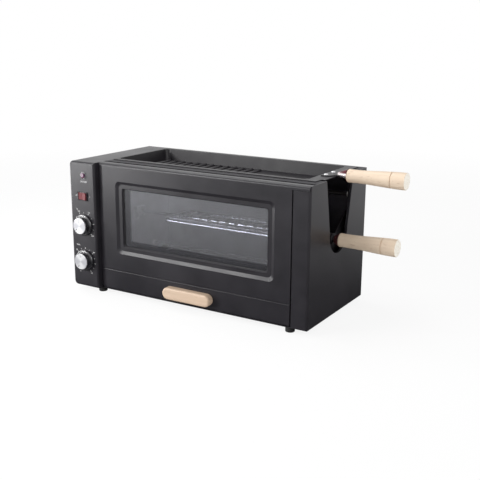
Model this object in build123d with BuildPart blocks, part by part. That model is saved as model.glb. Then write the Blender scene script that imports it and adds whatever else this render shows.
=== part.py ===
from build123d import *
import os

# Countertop roasting oven with a turning wire basket, a drip drawer and a
# lift-out grill pan. Lengths are millimetres. The front faces -Y, the controls
# are at the -X end and the two wooden handles at the +X end. Z = 0 is the table.

# Case
case_length = 454.0
case_depth = 204.0
case_height = 220.0
sheet = 1.0
base_sheet = 1.2
housing_width = 56.0
housing_projection = 10.5
housing_round = 4.0
housing_corner = 7.5
cover_bend = 4.0
foot_height = 9.0
foot_diameter = 15.0
foot_inset_x = 33.0
foot_inset_y = 9.0

# Front panel and window
drawer_opening_height = 37.0
front_flange = 14.0
front_round = 5.0
column_width = 28.0
column_gap = 2.0
column_top_gap = 7.4
window_left_margin = 35.5
window_right_margin = 30.5
window_bottom_margin = 30.0
window_top_margin = 28.4
window_round = 9.0
window_frame_side = 14.2
window_frame_top = 13.2
window_frame_bottom = 14.2
window_depth = 5.0
window_step_depth = 2.6
seal_thickness = 1.0
glass_thickness = 3.0
glass_overlap = 5.0

# Top opening and grill pan
flange_slot = 7.0
pan_gap_left = 4.0
pan_rim_end = 28.0
pan_front_inset = 45.5
pan_rear_inset = 15.5
pan_depth = 20.0
pan_sheet = 1.2
pan_rim = 7.5
pan_taper = 4.0
pan_slope = 30.0
pan_round = 9.0
rib_pitch = 16.0
rib_count = 13
rib_height = 3.0
rib_width = 8.0
rib_end_gap = 12.0
tongue_width = 92.0
tongue_reach = 5.0

# Side notch and inner liner
notch_radius = 32.0
notch_top_width = 98.0
notch_lip = 4.0
liner_side_gap = 4.0
liner_front_gap = 28.0
liner_rear_gap = 12.5
liner_right_gap = 13.0
liner_bottom = 38.0
liner_window_margin = 46.0
liner_window_bottom = 80.0
cradle_slope_height = 40.0
cradle_edge = 7.25

# Turning basket
axis_height = 120.0
shaft_diameter = 6.0
running_clearance = 0.05
seat_clearance = 0.3
basket_width = 76.0
basket_left_inset = 143.5
basket_right_inset = 40.0
frame_wire = 4.0
lid_wire = 3.0
cross_wire = 2.0
cross_pitch = 17.5
basket_corner = 8.0
lid_gap = 0.6
eye_diameter = 8.0
eye_width = 5.0
bush_diameter = 18.0
bush_groove_diameter = 11.0
bush_length = 9.0

# Wooden handles
basket_handle_length = 95.6
basket_handle_start = 22.0
basket_handle_end = 27.0
pan_handle_length = 94.0
pan_handle_start = 21.0
pan_handle_end = 26.0
pan_handle_reach = 106.0
pan_handle_height = 2.6
handle_base_gap = 2.0
handle_groove = 1.8
tang_diameter = 5.0
tang_depth = 62.0
pan_ferrule_length = 16.0
bracket_neck = 12.0
ferrule_wall = 1.0

# Heating rods
heater_diameter = 6.5
upper_heater_drop = 40.0
upper_heater_front = 36.5
upper_heater_back = 36.0
lower_heater_height = 50.0
lower_heater_inset = 60.0
bushing_diameter = 11.0
bushing_head = 2.5

# Drawer
drawer_front_height = 34.5
drawer_side_gap = 0.8
drawer_front_return = 9.0
drawer_bottom_gap = 2.0
tray_depth = 172.0
tray_sheet = 0.8
tray_bottom = 5.5
runner_height = 27.0
runner_ledge = 4.0
pull_length = 92.0
pull_height = 20.0
pull_thickness = 13.0
pull_screw_spacing = 56.0
pull_screw_diameter = 4.0

# Controls
control_inset = 27.0
lamp_inset = 24.6
knob_diameter = 37.5
knob_grip_diameter = 31.0
knob_cap_diameter = 27.6
knob_height = 12.0
knob_skirt = 5.0
knob_gap = 0.4
knob_flutes = 18
lower_knob_height = 48.0
upper_knob_drop = 109.0
switch_drop = 59.0
switch_width = 21.0
switch_depth = 15.0
key_width = 18.2
key_height = 12.2
key_tilt = 9.0
lamp_drop = 23.0
lamp_diameter = 10.5

# Places worked out from the sizes above
overall_length = case_length + pan_handle_reach
x_left = -overall_length / 2
x_wall = x_left + housing_width
x_right = x_left + case_length
y_front = -(case_depth - housing_projection - knob_height) / 2
y_rear = y_front + case_depth
y_mid = y_front + case_depth / 2
y_panel = y_front - housing_projection
knob_x = x_wall - control_inset
lamp_x = x_wall - lamp_inset
z_base = foot_height
z_top = z_base + case_height
z_deck = z_base + base_sheet
z_drawer_top = z_base + drawer_opening_height
z_axis = z_base + axis_height
x_column = x_right - column_width
x_front_end = x_column - column_gap
seam = 0.4
upper_knob_height = case_height - upper_knob_drop
switch_height = case_height - switch_drop
lamp_height = case_height - lamp_drop
upper_heater_height = case_height - upper_heater_drop
upper_heater_rear = case_depth - upper_heater_back
lower_heater_rear = case_depth - lower_heater_inset
cradle_half_width = (upper_heater_rear - upper_heater_front) / 2 - cradle_edge

os.makedirs("parts", exist_ok=True)


def span(x, y, z, mode=Mode.ADD):
    """Box between two limits on each axis."""
    middle = ((x[0] + x[1]) / 2, (y[0] + y[1]) / 2, (z[0] + z[1]) / 2)
    with Locations(middle):
        Box(x[1] - x[0], y[1] - y[0], z[1] - z[0], mode=mode)


def rod(start, end, radius, mode=Mode.ADD):
    """Round bar from one point to another."""
    direction = Vector(*end) - Vector(*start)
    with Locations(Plane(origin=start, z_dir=direction)):
        Cylinder(radius, direction.length, align=(Align.CENTER, Align.CENTER, Align.MIN), mode=mode)


def save(part, name):
    part.part.label = name
    export_step(part.part, f"parts/{name}.step")


# Base plate, wider under the control housing, with a rear flange
foot_wall_gap = 6.5
foot_x = (x_wall - foot_wall_gap, x_right - foot_inset_x)
foot_y = (y_front + foot_inset_y, y_rear - foot_inset_y)
foot_places = [(x, y) for x in foot_x for y in foot_y]
foot_screw_hole = 4.4
base_flange = 12.0
base_slot_length = 26.0
base_slot_width = 4.0
base_slot_pitch = 12.0
base_slot_count = 7
with BuildPart() as base_plate:
    with BuildSketch(Plane.XY.offset(z_base)):
        with BuildLine():
            Polyline(
                (x_left + housing_corner, y_panel + housing_round), (x_wall, y_panel + housing_round),
                (x_wall, y_front), (x_right, y_front), (x_right, y_rear),
                (x_left + housing_corner, y_rear), close=True,
            )
        make_face()
        with Locations(*foot_places):
            Circle(foot_screw_hole / 2, mode=Mode.SUBTRACT)
        with Locations(((x_left + x_wall) / 2, y_mid)):
            with GridLocations(0, base_slot_pitch, 1, base_slot_count):
                SlotOverall(base_slot_length, base_slot_width, mode=Mode.SUBTRACT)
    extrude(amount=base_sheet)
    span((x_wall + 2 * sheet, x_right - 3 * sheet), (y_rear - 2 * sheet, y_rear - sheet),
         (z_deck, z_deck + base_flange))
save(base_plate, "base_plate")

# Control housing, a folded shell with rounded corners, open behind and over the base plate
shaft_hole = 8.0
bezel_lip = 0.4
past = 1.0
bushing_hole = bushing_diameter / 2 - bushing_head / 2
heater_places = [
    (upper_heater_front, upper_heater_height), (upper_heater_rear, upper_heater_height),
    (lower_heater_inset, lower_heater_height), (lower_heater_rear, lower_heater_height),
]


def housing_block(inset, back):
    """Solid form of the control housing, smaller all round by an inset."""
    with BuildPart() as block:
        span((x_left + inset, x_wall - inset), (y_panel + inset, back), (z_base + inset, z_top - inset))
        fillet(block.faces().sort_by(Axis.X)[0].edges().filter_by(Axis.Y), housing_corner - inset)
        fillet(block.faces().sort_by(Axis.Y)[0].edges(), housing_round - inset)
    return block.part


with BuildPart() as control_housing:
    add(housing_block(0, y_rear - sheet))
    add(housing_block(sheet, y_rear + past), mode=Mode.SUBTRACT)
    span((x_left + housing_corner, x_wall + past), (y_panel + housing_round, y_rear), (z_base - past, z_deck),
         Mode.SUBTRACT)
    for height in (lower_knob_height, upper_knob_height):
        rod((knob_x, y_panel - past, z_base + height), (knob_x, y_panel + sheet + past, z_base + height),
            shaft_hole / 2, Mode.SUBTRACT)
    rod((lamp_x, y_panel - past, z_base + lamp_height),
        (lamp_x, y_panel + sheet + past, z_base + lamp_height), lamp_diameter / 2, Mode.SUBTRACT)
    switch_half_x, switch_half_z = switch_width / 2 - bezel_lip, switch_depth / 2 - bezel_lip
    span((knob_x - switch_half_x, knob_x + switch_half_x), (y_panel - past, y_panel + sheet + past),
         (z_base + switch_height - switch_half_z, z_base + switch_height + switch_half_z), Mode.SUBTRACT)
    for depth, height in heater_places:
        rod((x_wall - sheet - past, y_front + depth, z_base + height),
            (x_wall + past, y_front + depth, z_base + height), bushing_hole, Mode.SUBTRACT)
save(control_housing, "control_housing")

# Front panel: a folded sheet with a stepped pocket round the window
corner_share = 0.6
window_x = (x_wall + window_left_margin, x_column - window_right_margin)
window_z = (z_drawer_top + window_bottom_margin, z_top - window_top_margin)


def window_outline(depth, share, grow=0.0):
    """Rounded opening in the panel, a share of the way in to the glass."""
    x0 = window_x[0] + share * window_frame_side - grow
    x1 = window_x[1] - share * window_frame_side + grow
    z0 = window_z[0] + share * window_frame_bottom - grow
    z1 = window_z[1] - share * window_frame_top + grow
    corner = window_round * (1 - corner_share * share) + grow
    with BuildSketch(Plane.XZ.offset(-(y_front + depth))) as outline:
        with Locations(((x0 + x1) / 2, (z0 + z1) / 2)):
            RectangleRounded(x1 - x0, z1 - z0, corner)
    return outline.sketch


step_share = 0.38
land_share = 0.85
with BuildPart() as front_panel:
    with BuildSketch(Plane.YZ.offset(x_wall + seam)) as fold:
        with Locations(((y_front + front_flange / 2), (z_drawer_top + z_top) / 2)):
            Rectangle(front_flange, z_top - z_drawer_top)
        fillet(fold.vertices().group_by(Axis.X)[0].sort_by(Axis.Y)[-1], front_round)
        with BuildSketch(Plane.YZ.offset(x_wall + seam), mode=Mode.SUBTRACT) as hollow:
            with Locations(((y_front + sheet + front_flange / 2), (z_drawer_top + z_top) / 2 - sheet)):
                Rectangle(front_flange, z_top - z_drawer_top)
            fillet(hollow.vertices().group_by(Axis.X)[0].sort_by(Axis.Y)[-1], front_round - sheet)
    extrude(amount=x_right - sheet - x_wall - 2 * seam)
    span((x_front_end, x_right), (y_front - past, y_front + sheet + seam), (z_base, z_top - column_top_gap),
         Mode.SUBTRACT)
    loft([window_outline(0, 0, sheet), window_outline(window_step_depth + sheet, step_share, sheet)])
    extrude(window_outline(window_step_depth, step_share, sheet), amount=-sheet)
    extrude(window_outline(window_step_depth, land_share, sheet), amount=-(window_depth - window_step_depth))
    loft([window_outline(0, 0), window_outline(window_step_depth, step_share)], mode=Mode.SUBTRACT)
    extrude(window_outline(0, land_share), amount=-window_step_depth - sheet, mode=Mode.SUBTRACT)
    loft([window_outline(window_step_depth, land_share), window_outline(window_depth, 1)],
         mode=Mode.SUBTRACT)
save(front_panel, "front_panel")

# Right cover: side sheet with the notch for the basket handle, folded round to the front
notch_rise = 11.0
z_notch = z_axis + notch_rise
notch_neck = notch_radius * 0.985
with BuildSketch(Plane.YZ.offset(x_right)) as notch_outline:
    with BuildLine():
        Polyline(
            (y_mid - notch_top_width / 2, z_top + sheet), (y_mid - notch_neck, z_notch),
            (y_mid + notch_neck, z_notch), (y_mid + notch_top_width / 2, z_top + sheet), close=True,
        )
    make_face()
    with Locations((y_mid, z_notch)):
        Circle(notch_radius)
with BuildPart() as right_cover:
    with BuildSketch(Plane.XY.offset(z_deck)) as bend:
        with Locations((x_right - column_width / 2, (y_front + y_rear - sheet) / 2)):
            Rectangle(column_width, case_depth - sheet)
        fillet(bend.vertices().group_by(Axis.Y)[0].sort_by(Axis.X)[-1], cover_bend)
        with BuildSketch(Plane.XY.offset(z_deck), mode=Mode.SUBTRACT) as inside:
            with Locations((x_right - column_width / 2 - sheet, (y_front + y_rear + sheet) / 2)):
                Rectangle(column_width, case_depth - sheet)
            fillet(inside.vertices().group_by(Axis.Y)[0].sort_by(Axis.X)[-1], cover_bend - sheet)
    extrude(amount=z_top - z_deck)
    span((x_column - past, x_right - sheet), (y_front - past, y_front + 5 * sheet),
         (z_top - column_top_gap - seam, z_top + past), Mode.SUBTRACT)
    with BuildSketch(Plane.YZ.offset(x_right)):
        add(notch_outline.sketch_local)
        offset(amount=sheet, kind=Kind.ARC)
    extrude(amount=-notch_lip)
    extrude(notch_outline.sketch, amount=-2 * notch_lip, both=True, mode=Mode.SUBTRACT)
    span((x_right - 3 * notch_lip, x_right + past), (y_front, y_rear), (z_top, z_top + 5 * sheet),
         Mode.SUBTRACT)
save(right_cover, "right_cover")

# Rear panel with two groups of cooling slots and the hole for the cord bushing
grommet_height = 26.0
grommet_diameter = 12.0
rear_screw_inset = 20.0
rear_screw_x = (x_wall + rear_screw_inset, (x_wall + x_right) / 2, x_right - rear_screw_inset)
rear_screw_diameter = 3.0
rear_screw_head = 1.6
screw_clearance = 0.1
vent_height = 3.6
housing_vent_length = 32.0
housing_vent_pitch = 9.0
housing_vent_count = 8
housing_vent_share = 0.62
rear_vent_length = 34.0
rear_vent_spacing = (46.0, 10.0)
rear_vent_count = 5
rear_vent_rows = 2
rear_vent_share = 0.3
rear_screw_z = (z_deck + base_flange / 2, z_top - sheet - base_flange / 2)
with BuildPart() as rear_panel:
    span((x_left, x_right), (y_rear - sheet, y_rear), (z_deck, z_top))
    with BuildSketch(Plane.XZ.offset(-y_rear)):
        with Locations((knob_x, z_base + case_height * housing_vent_share)):
            with GridLocations(0, housing_vent_pitch, 1, housing_vent_count):
                SlotOverall(housing_vent_length, vent_height)
        with Locations(((x_wall + x_right) / 2, z_base + case_height * rear_vent_share)):
            with GridLocations(*rear_vent_spacing, rear_vent_count, rear_vent_rows):
                SlotOverall(rear_vent_length, vent_height)
        with Locations((knob_x, z_base + grommet_height)):
            Circle(grommet_diameter / 2)
        with Locations(*[(x, z) for x in rear_screw_x for z in rear_screw_z]):
            Circle(rear_screw_diameter / 2 + screw_clearance)
    extrude(amount=2 * sheet, both=True, mode=Mode.SUBTRACT)
    fillet(rear_panel.edges().filter_by(Axis.Y).group_by(Axis.Z)[-1].sort_by(Axis.X)[0], housing_corner)
    fillet(rear_panel.edges().filter_by(Axis.Y).group_by(Axis.Z)[0].sort_by(Axis.X)[0], housing_corner)
save(rear_panel, "rear_panel")

grommet_wall = 2.5
grommet_flange = 2.0
grommet_length = 5.0
with BuildPart() as cord_bushing:
    with Locations(Plane(origin=(knob_x, y_rear, z_base + grommet_height), z_dir=(0, 1, 0))):
        Cylinder(grommet_diameter / 2 + grommet_wall, grommet_flange,
                 align=(Align.CENTER, Align.CENTER, Align.MIN))
        Cylinder(grommet_diameter / 2 - screw_clearance, grommet_length)
        Cylinder(grommet_diameter / 2 - grommet_wall, 2 * grommet_length, mode=Mode.SUBTRACT)
save(cord_bushing, "cord_bushing")

# Top frame: the rim that carries the grill pan, open to the side notch
well_x = (x_wall + pan_gap_left, x_right - pan_rim_end)
well_y = (y_front + pan_front_inset, y_rear - pan_rear_inset)
y_frame = y_front + front_flange + flange_slot
opening_gap = 1.0
frame_end = x_right - liner_right_gap
with BuildPart() as top_frame:
    span((x_wall + seam, x_right - sheet), (y_frame, y_rear - sheet), (z_top - sheet, z_top))
    span((well_x[0] - opening_gap, frame_end), (well_y[0] - opening_gap, well_y[1] + opening_gap),
         (z_top - 2 * sheet, z_top + past), Mode.SUBTRACT)
    notch_half = notch_top_width / 2 + sheet
    span((frame_end - past, x_right), (y_mid - notch_half, y_mid + notch_half),
         (z_top - 2 * sheet, z_top + past), Mode.SUBTRACT)
    span((x_wall + seam, x_right - 2 * sheet), (y_frame, y_frame + sheet), (z_top - base_flange / 2, z_top))
    span((x_wall + seam + 2 * sheet, x_right - 3 * sheet), (y_rear - 2 * sheet, y_rear - sheet),
         (z_top - base_flange, z_top))
save(top_frame, "top_frame")

with BuildPart() as rear_screws:
    for x in rear_screw_x:
        for z in rear_screw_z:
            with Locations(Plane(origin=(x, y_rear, z), z_dir=(0, 1, 0))):
                Cylinder(rear_screw_diameter, rear_screw_head, align=(Align.CENTER, Align.CENTER, Align.MIN))
            rod((x, y_rear, z), (x, y_rear - sheet, z), rear_screw_diameter / 2)
    fillet(rear_screws.faces().group_by(Axis.Y)[-1].edges(), 0.6)
save(rear_screws, "rear_screws")

# Window glass on its seal, held by spring clips at the back of the panel
glass_x = (window_x[0] + window_frame_side - glass_overlap, window_x[1] - window_frame_side + glass_overlap)
glass_z = (window_z[0] + window_frame_bottom - glass_overlap, window_z[1] - window_frame_top + glass_overlap)
y_seal = y_front + window_depth
y_glass = y_seal + seal_thickness
y_glass_back = y_glass + glass_thickness
seal_setback = 0.3
glass_corner = 3.0
with BuildPart() as window_seal:
    span(glass_x, (y_seal, y_glass), glass_z)
    extrude(window_outline(window_depth - past, 1, seal_setback), amount=-2 * past - seal_thickness,
            mode=Mode.SUBTRACT)
save(window_seal, "window_seal")

with BuildPart() as window_glass:
    span(glass_x, (y_glass, y_glass_back), glass_z)
    fillet(window_glass.edges().filter_by(Axis.Y), glass_corner)
save(window_glass, "window_glass")

clip_width = 12.0
clip_reach = 7.0
clip_sheet = 0.8
clip_share = 0.36
clip_spacing = (window_x[1] - window_x[0]) * clip_share
with BuildPart() as glass_clips:
    for side, edge in ((1, window_z[1]), (-1, window_z[0])):
        profile_start = edge + side * 2 * sheet
        for step in (-1, 0, 1):
            middle = (window_x[0] + window_x[1]) / 2 + step * clip_spacing
            x_span = (middle - clip_width / 2, middle + clip_width / 2)
            near, far = profile_start, profile_start + side * clip_sheet
            span(x_span, (y_front + sheet, y_front + sheet + clip_sheet),
                 sorted((near, near + side * clip_reach)))
            span(x_span, (y_front + sheet, y_glass_back + clip_sheet), sorted((near, far)))
            tongue_tip = glass_z[1] - clip_reach / 2 if side > 0 else glass_z[0] + clip_reach / 2
            span(x_span, (y_glass_back, y_glass_back + clip_sheet), sorted((far, tongue_tip)))
save(glass_clips, "glass_clips")

# Rubber feet and their screws
foot_screw_head = 8.0
foot_screw_head_height = 2.2
foot_head_gap = 0.3
foot_recess = 4.0
foot_round = 1.5
with BuildPart() as feet:
    with BuildSketch(Plane.XY):
        with Locations(*foot_places):
            Circle(foot_diameter / 2)
    extrude(amount=foot_height)
    fillet(feet.edges().group_by(Axis.Z)[0], foot_round)
    with BuildSketch(Plane.XY):
        with Locations(*foot_places):
            Circle(foot_screw_head / 2 + foot_head_gap)
    extrude(amount=foot_recess, mode=Mode.SUBTRACT)
    with BuildSketch(Plane.XY):
        with Locations(*foot_places):
            Circle(foot_screw_hole / 2)
    extrude(amount=foot_height, mode=Mode.SUBTRACT)
save(feet, "feet")

with BuildPart() as foot_screws:
    for x, y in foot_places:
        rod((x, y, foot_recess - foot_screw_head_height), (x, y, foot_recess), foot_screw_head / 2)
        rod((x, y, foot_recess), (x, y, z_deck), foot_screw_hole / 2 - screw_clearance)
save(foot_screws, "foot_screws")

# Inner liner: four bright sheets round the roasting space
x_liner = (x_wall + liner_side_gap, x_right - liner_right_gap)
y_liner = (y_front + liner_front_gap, y_rear - liner_rear_gap)
z_liner = (z_base + liner_bottom, z_top - sheet)
z_left_liner = z_top - pan_depth - 3 * sheet
with BuildPart() as liner_left:
    span((x_liner[0], x_liner[0] + sheet), y_liner, (z_liner[0], z_left_liner))
    for depth, height in heater_places:
        rod((x_liner[0] - past, y_front + depth, z_base + height),
            (x_liner[0] + sheet + past, y_front + depth, z_base + height), bushing_hole, Mode.SUBTRACT)
save(liner_left, "liner_left")

with BuildPart() as liner_front:
    span((x_liner[0], x_liner[1] + sheet), (y_liner[0] - sheet, y_liner[0]), z_liner)
    with BuildSketch(Plane.XZ.offset(-y_liner[0])):
        x0, x1 = x_wall + liner_window_margin, x_right - liner_window_margin - liner_right_gap
        z0, z1 = z_base + liner_window_bottom, z_left_liner
        with Locations(((x0 + x1) / 2, (z0 + z1) / 2)):
            RectangleRounded(x1 - x0, z1 - z0, window_round)
    extrude(amount=2 * sheet, both=True, mode=Mode.SUBTRACT)
save(liner_front, "liner_front")

with BuildPart() as liner_rear:
    span((x_liner[0], x_liner[1] + sheet), (y_liner[1], y_liner[1] + sheet), z_liner)
save(liner_rear, "liner_rear")

cradle_radius = bush_groove_diameter / 2 + seat_clearance
z_slope = z_axis + cradle_slope_height
with BuildPart() as liner_right:
    span((x_liner[1], x_liner[1] + sheet), y_liner, z_liner)
    with BuildSketch(Plane.YZ.offset(x_liner[1])):
        with BuildLine():
            Polyline(
                (y_mid - cradle_half_width, z_top + past), (y_mid - cradle_half_width, z_slope),
                (y_mid - cradle_radius, z_axis), (y_mid + cradle_radius, z_axis),
                (y_mid + cradle_half_width, z_slope), (y_mid + cradle_half_width, z_top + past), close=True,
            )
        make_face()
        with Locations((y_mid, z_axis)):
            Circle(cradle_radius)
    extrude(amount=2 * sheet, both=True, mode=Mode.SUBTRACT)
    for depth, height in heater_places[:2]:
        rod((x_liner[1] - past, y_front + depth, z_base + height),
            (x_liner[1] + sheet + past, y_front + depth, z_base + height), bushing_hole, Mode.SUBTRACT)
save(liner_right, "liner_right")

# Heating rods with their ceramic bushings
heater_tail = 14.0
heater_tip = 5.0
heater_end_gap = 14.0
heater_bend_share = 0.35
heater_left = x_wall - heater_tail
heater_right_end = x_liner[1] + sheet + heater_tip
lower_bend = x_liner[1] - heater_end_gap
heater_radius = heater_diameter / 2
with BuildPart() as upper_heaters:
    for depth, height in heater_places[:2]:
        rod((heater_left, y_front + depth, z_base + height),
            (heater_right_end, y_front + depth, z_base + height), heater_radius)
save(upper_heaters, "upper_heaters")

lower_span = lower_heater_rear - lower_heater_inset
z_lower = z_base + lower_heater_height
with BuildPart() as lower_heater:
    with BuildLine() as lower_path:
        FilletPolyline(
            (heater_left, y_front + lower_heater_inset, z_lower),
            (lower_bend, y_front + lower_heater_inset, z_lower),
            (lower_bend, y_front + lower_heater_rear, z_lower),
            (heater_left, y_front + lower_heater_rear, z_lower),
            radius=lower_span * heater_bend_share,
        )
    with BuildSketch(Plane(origin=lower_path.line @ 0, z_dir=lower_path.line % 0)):
        Circle(heater_radius)
    sweep()
save(lower_heater, "lower_heater")


def bushing(x_inner, x_outer, x_plates, depth, height):
    """Ceramic bushing with a head against each side of the sheets it passes through."""
    y, z = y_front + depth, z_base + height
    rod((x_plates[0], y, z), (x_plates[1], y, z), bushing_hole - screw_clearance)
    rod((x_inner, y, z), (x_plates[0], y, z), bushing_diameter / 2)
    rod((x_plates[1], y, z), (x_outer, y, z), bushing_diameter / 2)
    rod((x_inner - past, y, z), (x_outer + past, y, z), heater_radius + running_clearance, Mode.SUBTRACT)


with BuildPart() as heater_bushings:
    for depth, height in heater_places:
        bushing(x_wall - sheet - bushing_head, x_liner[0] + sheet + bushing_head,
                (x_wall - sheet, x_liner[0] + sheet), depth, height)
        rod((x_wall, y_front + depth, z_base + height), (x_liner[0], y_front + depth, z_base + height),
            bushing_diameter / 2)
        rod((heater_left, y_front + depth, z_base + height),
            (x_liner[0] + heater_tail, y_front + depth, z_base + height),
            heater_radius + running_clearance, Mode.SUBTRACT)
    for depth, height in heater_places[:2]:
        bushing(x_liner[1] - bushing_head, x_liner[1] + sheet + bushing_head,
                (x_liner[1], x_liner[1] + sheet), depth, height)
save(heater_bushings, "heater_bushings")

# Cradle for the left end of the shaft
shaft_radius = shaft_diameter / 2
shaft_end_gap = 2.0
shaft_left = x_liner[0] + sheet + shaft_end_gap
cradle_length = 10.0
cradle_corner = 3.0
cradle_wall = 2.0
cradle_plate = 1.5
cradle_lead = 8.0
cradle_flare = 3.0
inner_radius = shaft_radius + seat_clearance
outer_radius = inner_radius + cradle_wall
with BuildPart() as shaft_cradle:
    x_face = x_liner[0] + sheet
    span((x_face, x_face + cradle_plate), (y_mid - 3 * outer_radius, y_mid + 3 * outer_radius),
         (z_axis - 3 * outer_radius, z_axis + cradle_lead))
    fillet(shaft_cradle.edges().filter_by(Axis.X), cradle_corner)
    with BuildSketch(Plane.YZ.offset(x_face)):
        with Locations((y_mid, z_axis)):
            Circle(outer_radius)
        with BuildLine():
            Polyline(
                (y_mid - outer_radius, z_axis), (y_mid + outer_radius, z_axis),
                (y_mid + outer_radius + cradle_flare, z_axis + cradle_lead),
                (y_mid - outer_radius - cradle_flare, z_axis + cradle_lead), close=True,
            )
        make_face()
        with Locations((y_mid, z_axis)):
            Circle(inner_radius, mode=Mode.SUBTRACT)
        with BuildLine():
            Polyline(
                (y_mid - inner_radius, z_axis), (y_mid + inner_radius, z_axis),
                (y_mid + inner_radius + cradle_flare, z_axis + cradle_lead),
                (y_mid - inner_radius - cradle_flare, z_axis + cradle_lead), close=True,
            )
        make_face(mode=Mode.SUBTRACT)
    extrude(amount=cradle_plate + cradle_length)
save(shaft_cradle, "shaft_cradle")

# Drawer with its front, wooden pull and runners
drawer_x = (x_wall + drawer_side_gap, x_front_end)
drawer_z = (z_base + drawer_bottom_gap, z_base + drawer_bottom_gap + drawer_front_height)
runner_foot = 2.5
runner_gap = 0.2
runner_rear_gap = 5.0
runner_front_gap = 2.0
x_runner = (x_wall + runner_gap, x_column + 0.5 * sheet)
with BuildPart() as drawer_runners:
    for side, x_foot in ((1, x_runner[0]), (-1, x_runner[1])):
        x_web = x_foot + side * runner_foot
        length = (y_front + drawer_front_return + runner_front_gap, y_rear - 2 * sheet - runner_rear_gap)
        span(sorted((x_foot, x_web)), length, (z_deck, z_deck + sheet))
        span(sorted((x_web, x_web + side * sheet)), length, (z_deck, z_base + runner_height))
        span(sorted((x_web, x_web + side * (sheet + runner_ledge))), length,
             (z_base + runner_height - sheet, z_base + runner_height))
save(drawer_runners, "drawer_runners")

lip_gap = 0.6
lip_front_gap = 4.0
lip_rear_gap = 8.0
tray_corner = 6.0
drawer_edge = 1.2
pull_drop = 1.0
pull_round = (3.0, 1.0)
pull_screw_end = 3.5
pull_screw_head = (7.2, 2.0)
lip_x = (x_runner[0] + runner_foot, x_runner[1] - runner_foot)
tray_x = (lip_x[0] + sheet + runner_ledge + lip_gap, lip_x[1] - sheet - runner_ledge - lip_gap)
tray_y = (y_front + sheet, y_front + sheet + tray_depth)
z_lip = z_base + runner_height + seat_clearance
pull_z = (drawer_z[0] + drawer_z[1]) / 2 - pull_drop
pull_screw_x = [(x_wall + x_front_end) / 2 + side * pull_screw_spacing / 2 for side in (-1, 1)]
with BuildPart() as drawer_tray:
    floor_x = (tray_x[0] + tray_sheet, tray_x[1] - tray_sheet)
    floor_y = (tray_y[0] + tray_sheet, tray_y[1] - tray_sheet)
    span(floor_x, floor_y, (z_base + tray_bottom, z_base + tray_bottom + tray_sheet))
    fillet(drawer_tray.edges().filter_by(Axis.Z).group_by(Axis.Y)[-1], tray_corner - tray_sheet)
save(drawer_tray, "drawer_tray")

with BuildPart() as tray_sides:
    span(tray_x, tray_y, (z_base + tray_bottom, z_lip + tray_sheet))
    fillet(tray_sides.edges().filter_by(Axis.Z).group_by(Axis.Y)[-1], tray_corner)
    offset(amount=-tray_sheet, openings=[tray_sides.faces().sort_by(Axis.Z)[0],
                                         tray_sides.faces().sort_by(Axis.Z)[-1]])
    for x_in, x_out in ((tray_x[0], lip_x[0]), (tray_x[1], lip_x[1])):
        lip_start = x_in + (tray_sheet if x_in > x_out else -tray_sheet)
        lip_y = (tray_y[0] + drawer_front_return + lip_front_gap, tray_y[1] - lip_rear_gap)
        span(sorted((lip_start, x_out)), lip_y, (z_lip, z_lip + tray_sheet))
    for x in pull_screw_x:
        rod((x, y_front, pull_z), (x, y_front + 4 * sheet, pull_z), pull_screw_diameter / 2 + screw_clearance,
            Mode.SUBTRACT)
save(tray_sides, "tray_sides")

with BuildPart() as drawer_front:
    span(drawer_x, (y_front, y_front + drawer_front_return), drawer_z)
    fillet(drawer_front.faces().sort_by(Axis.Y)[0].edges(), drawer_edge)
    offset(amount=-sheet, openings=drawer_front.faces().sort_by(Axis.Y)[-1])
    for x in pull_screw_x:
        rod((x, y_front - past, pull_z), (x, y_front + 3 * sheet, pull_z),
            pull_screw_diameter / 2 + screw_clearance, Mode.SUBTRACT)
save(drawer_front, "drawer_front")

with BuildPart() as drawer_pull:
    with BuildSketch(Plane.XZ.offset(-y_front)):
        with Locations(((x_wall + x_front_end) / 2, pull_z)):
            SlotOverall(pull_length, pull_height)
    extrude(amount=pull_thickness)
    fillet(drawer_pull.faces().sort_by(Axis.Y)[0].edges(), pull_round[0])
    fillet(drawer_pull.faces().sort_by(Axis.Y)[-1].edges(), pull_round[1])
    for x in pull_screw_x:
        rod((x, y_front + past, pull_z), (x, y_front - pull_thickness + pull_screw_end - lip_gap, pull_z),
            pull_screw_diameter / 2 + running_clearance, Mode.SUBTRACT)
save(drawer_pull, "drawer_pull")

with BuildPart() as pull_screws:
    for x in pull_screw_x:
        rod((x, y_front - pull_thickness + pull_screw_end, pull_z), (x, y_front + sheet, pull_z),
            pull_screw_diameter / 2)
        rod((x, y_front + sheet + tray_sheet, pull_z),
            (x, y_front + sheet + tray_sheet + pull_screw_head[1], pull_z), pull_screw_head[0] / 2)
        rod((x, y_front + sheet, pull_z), (x, y_front + sheet + tray_sheet, pull_z), pull_screw_diameter / 2)
save(pull_screws, "pull_screws")


def revolved_about_x(points, x_start, y, z):
    """Solid of revolution about a line along X, from points (distance, radius)."""
    plane = Plane(origin=(x_start, y, z), x_dir=(1, 0, 0), z_dir=(0, -1, 0))
    with BuildPart() as body:
        with BuildSketch(plane):
            with BuildLine():
                Spline(*points)
                Polyline(points[-1], (points[-1][0], 0), (points[0][0], 0), points[0])
            make_face()
        revolve(axis=Axis((x_start, y, z), (1, 0, 0)))
    return body.part


waist_place, waist_share = 0.3, 0.985
swell_place, swell_share = 0.62, 1.015
groove_place = 0.755
groove_lift = 0.55
handle_round = (2.5, 1.6)
tang_end_gap = 0.5


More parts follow.
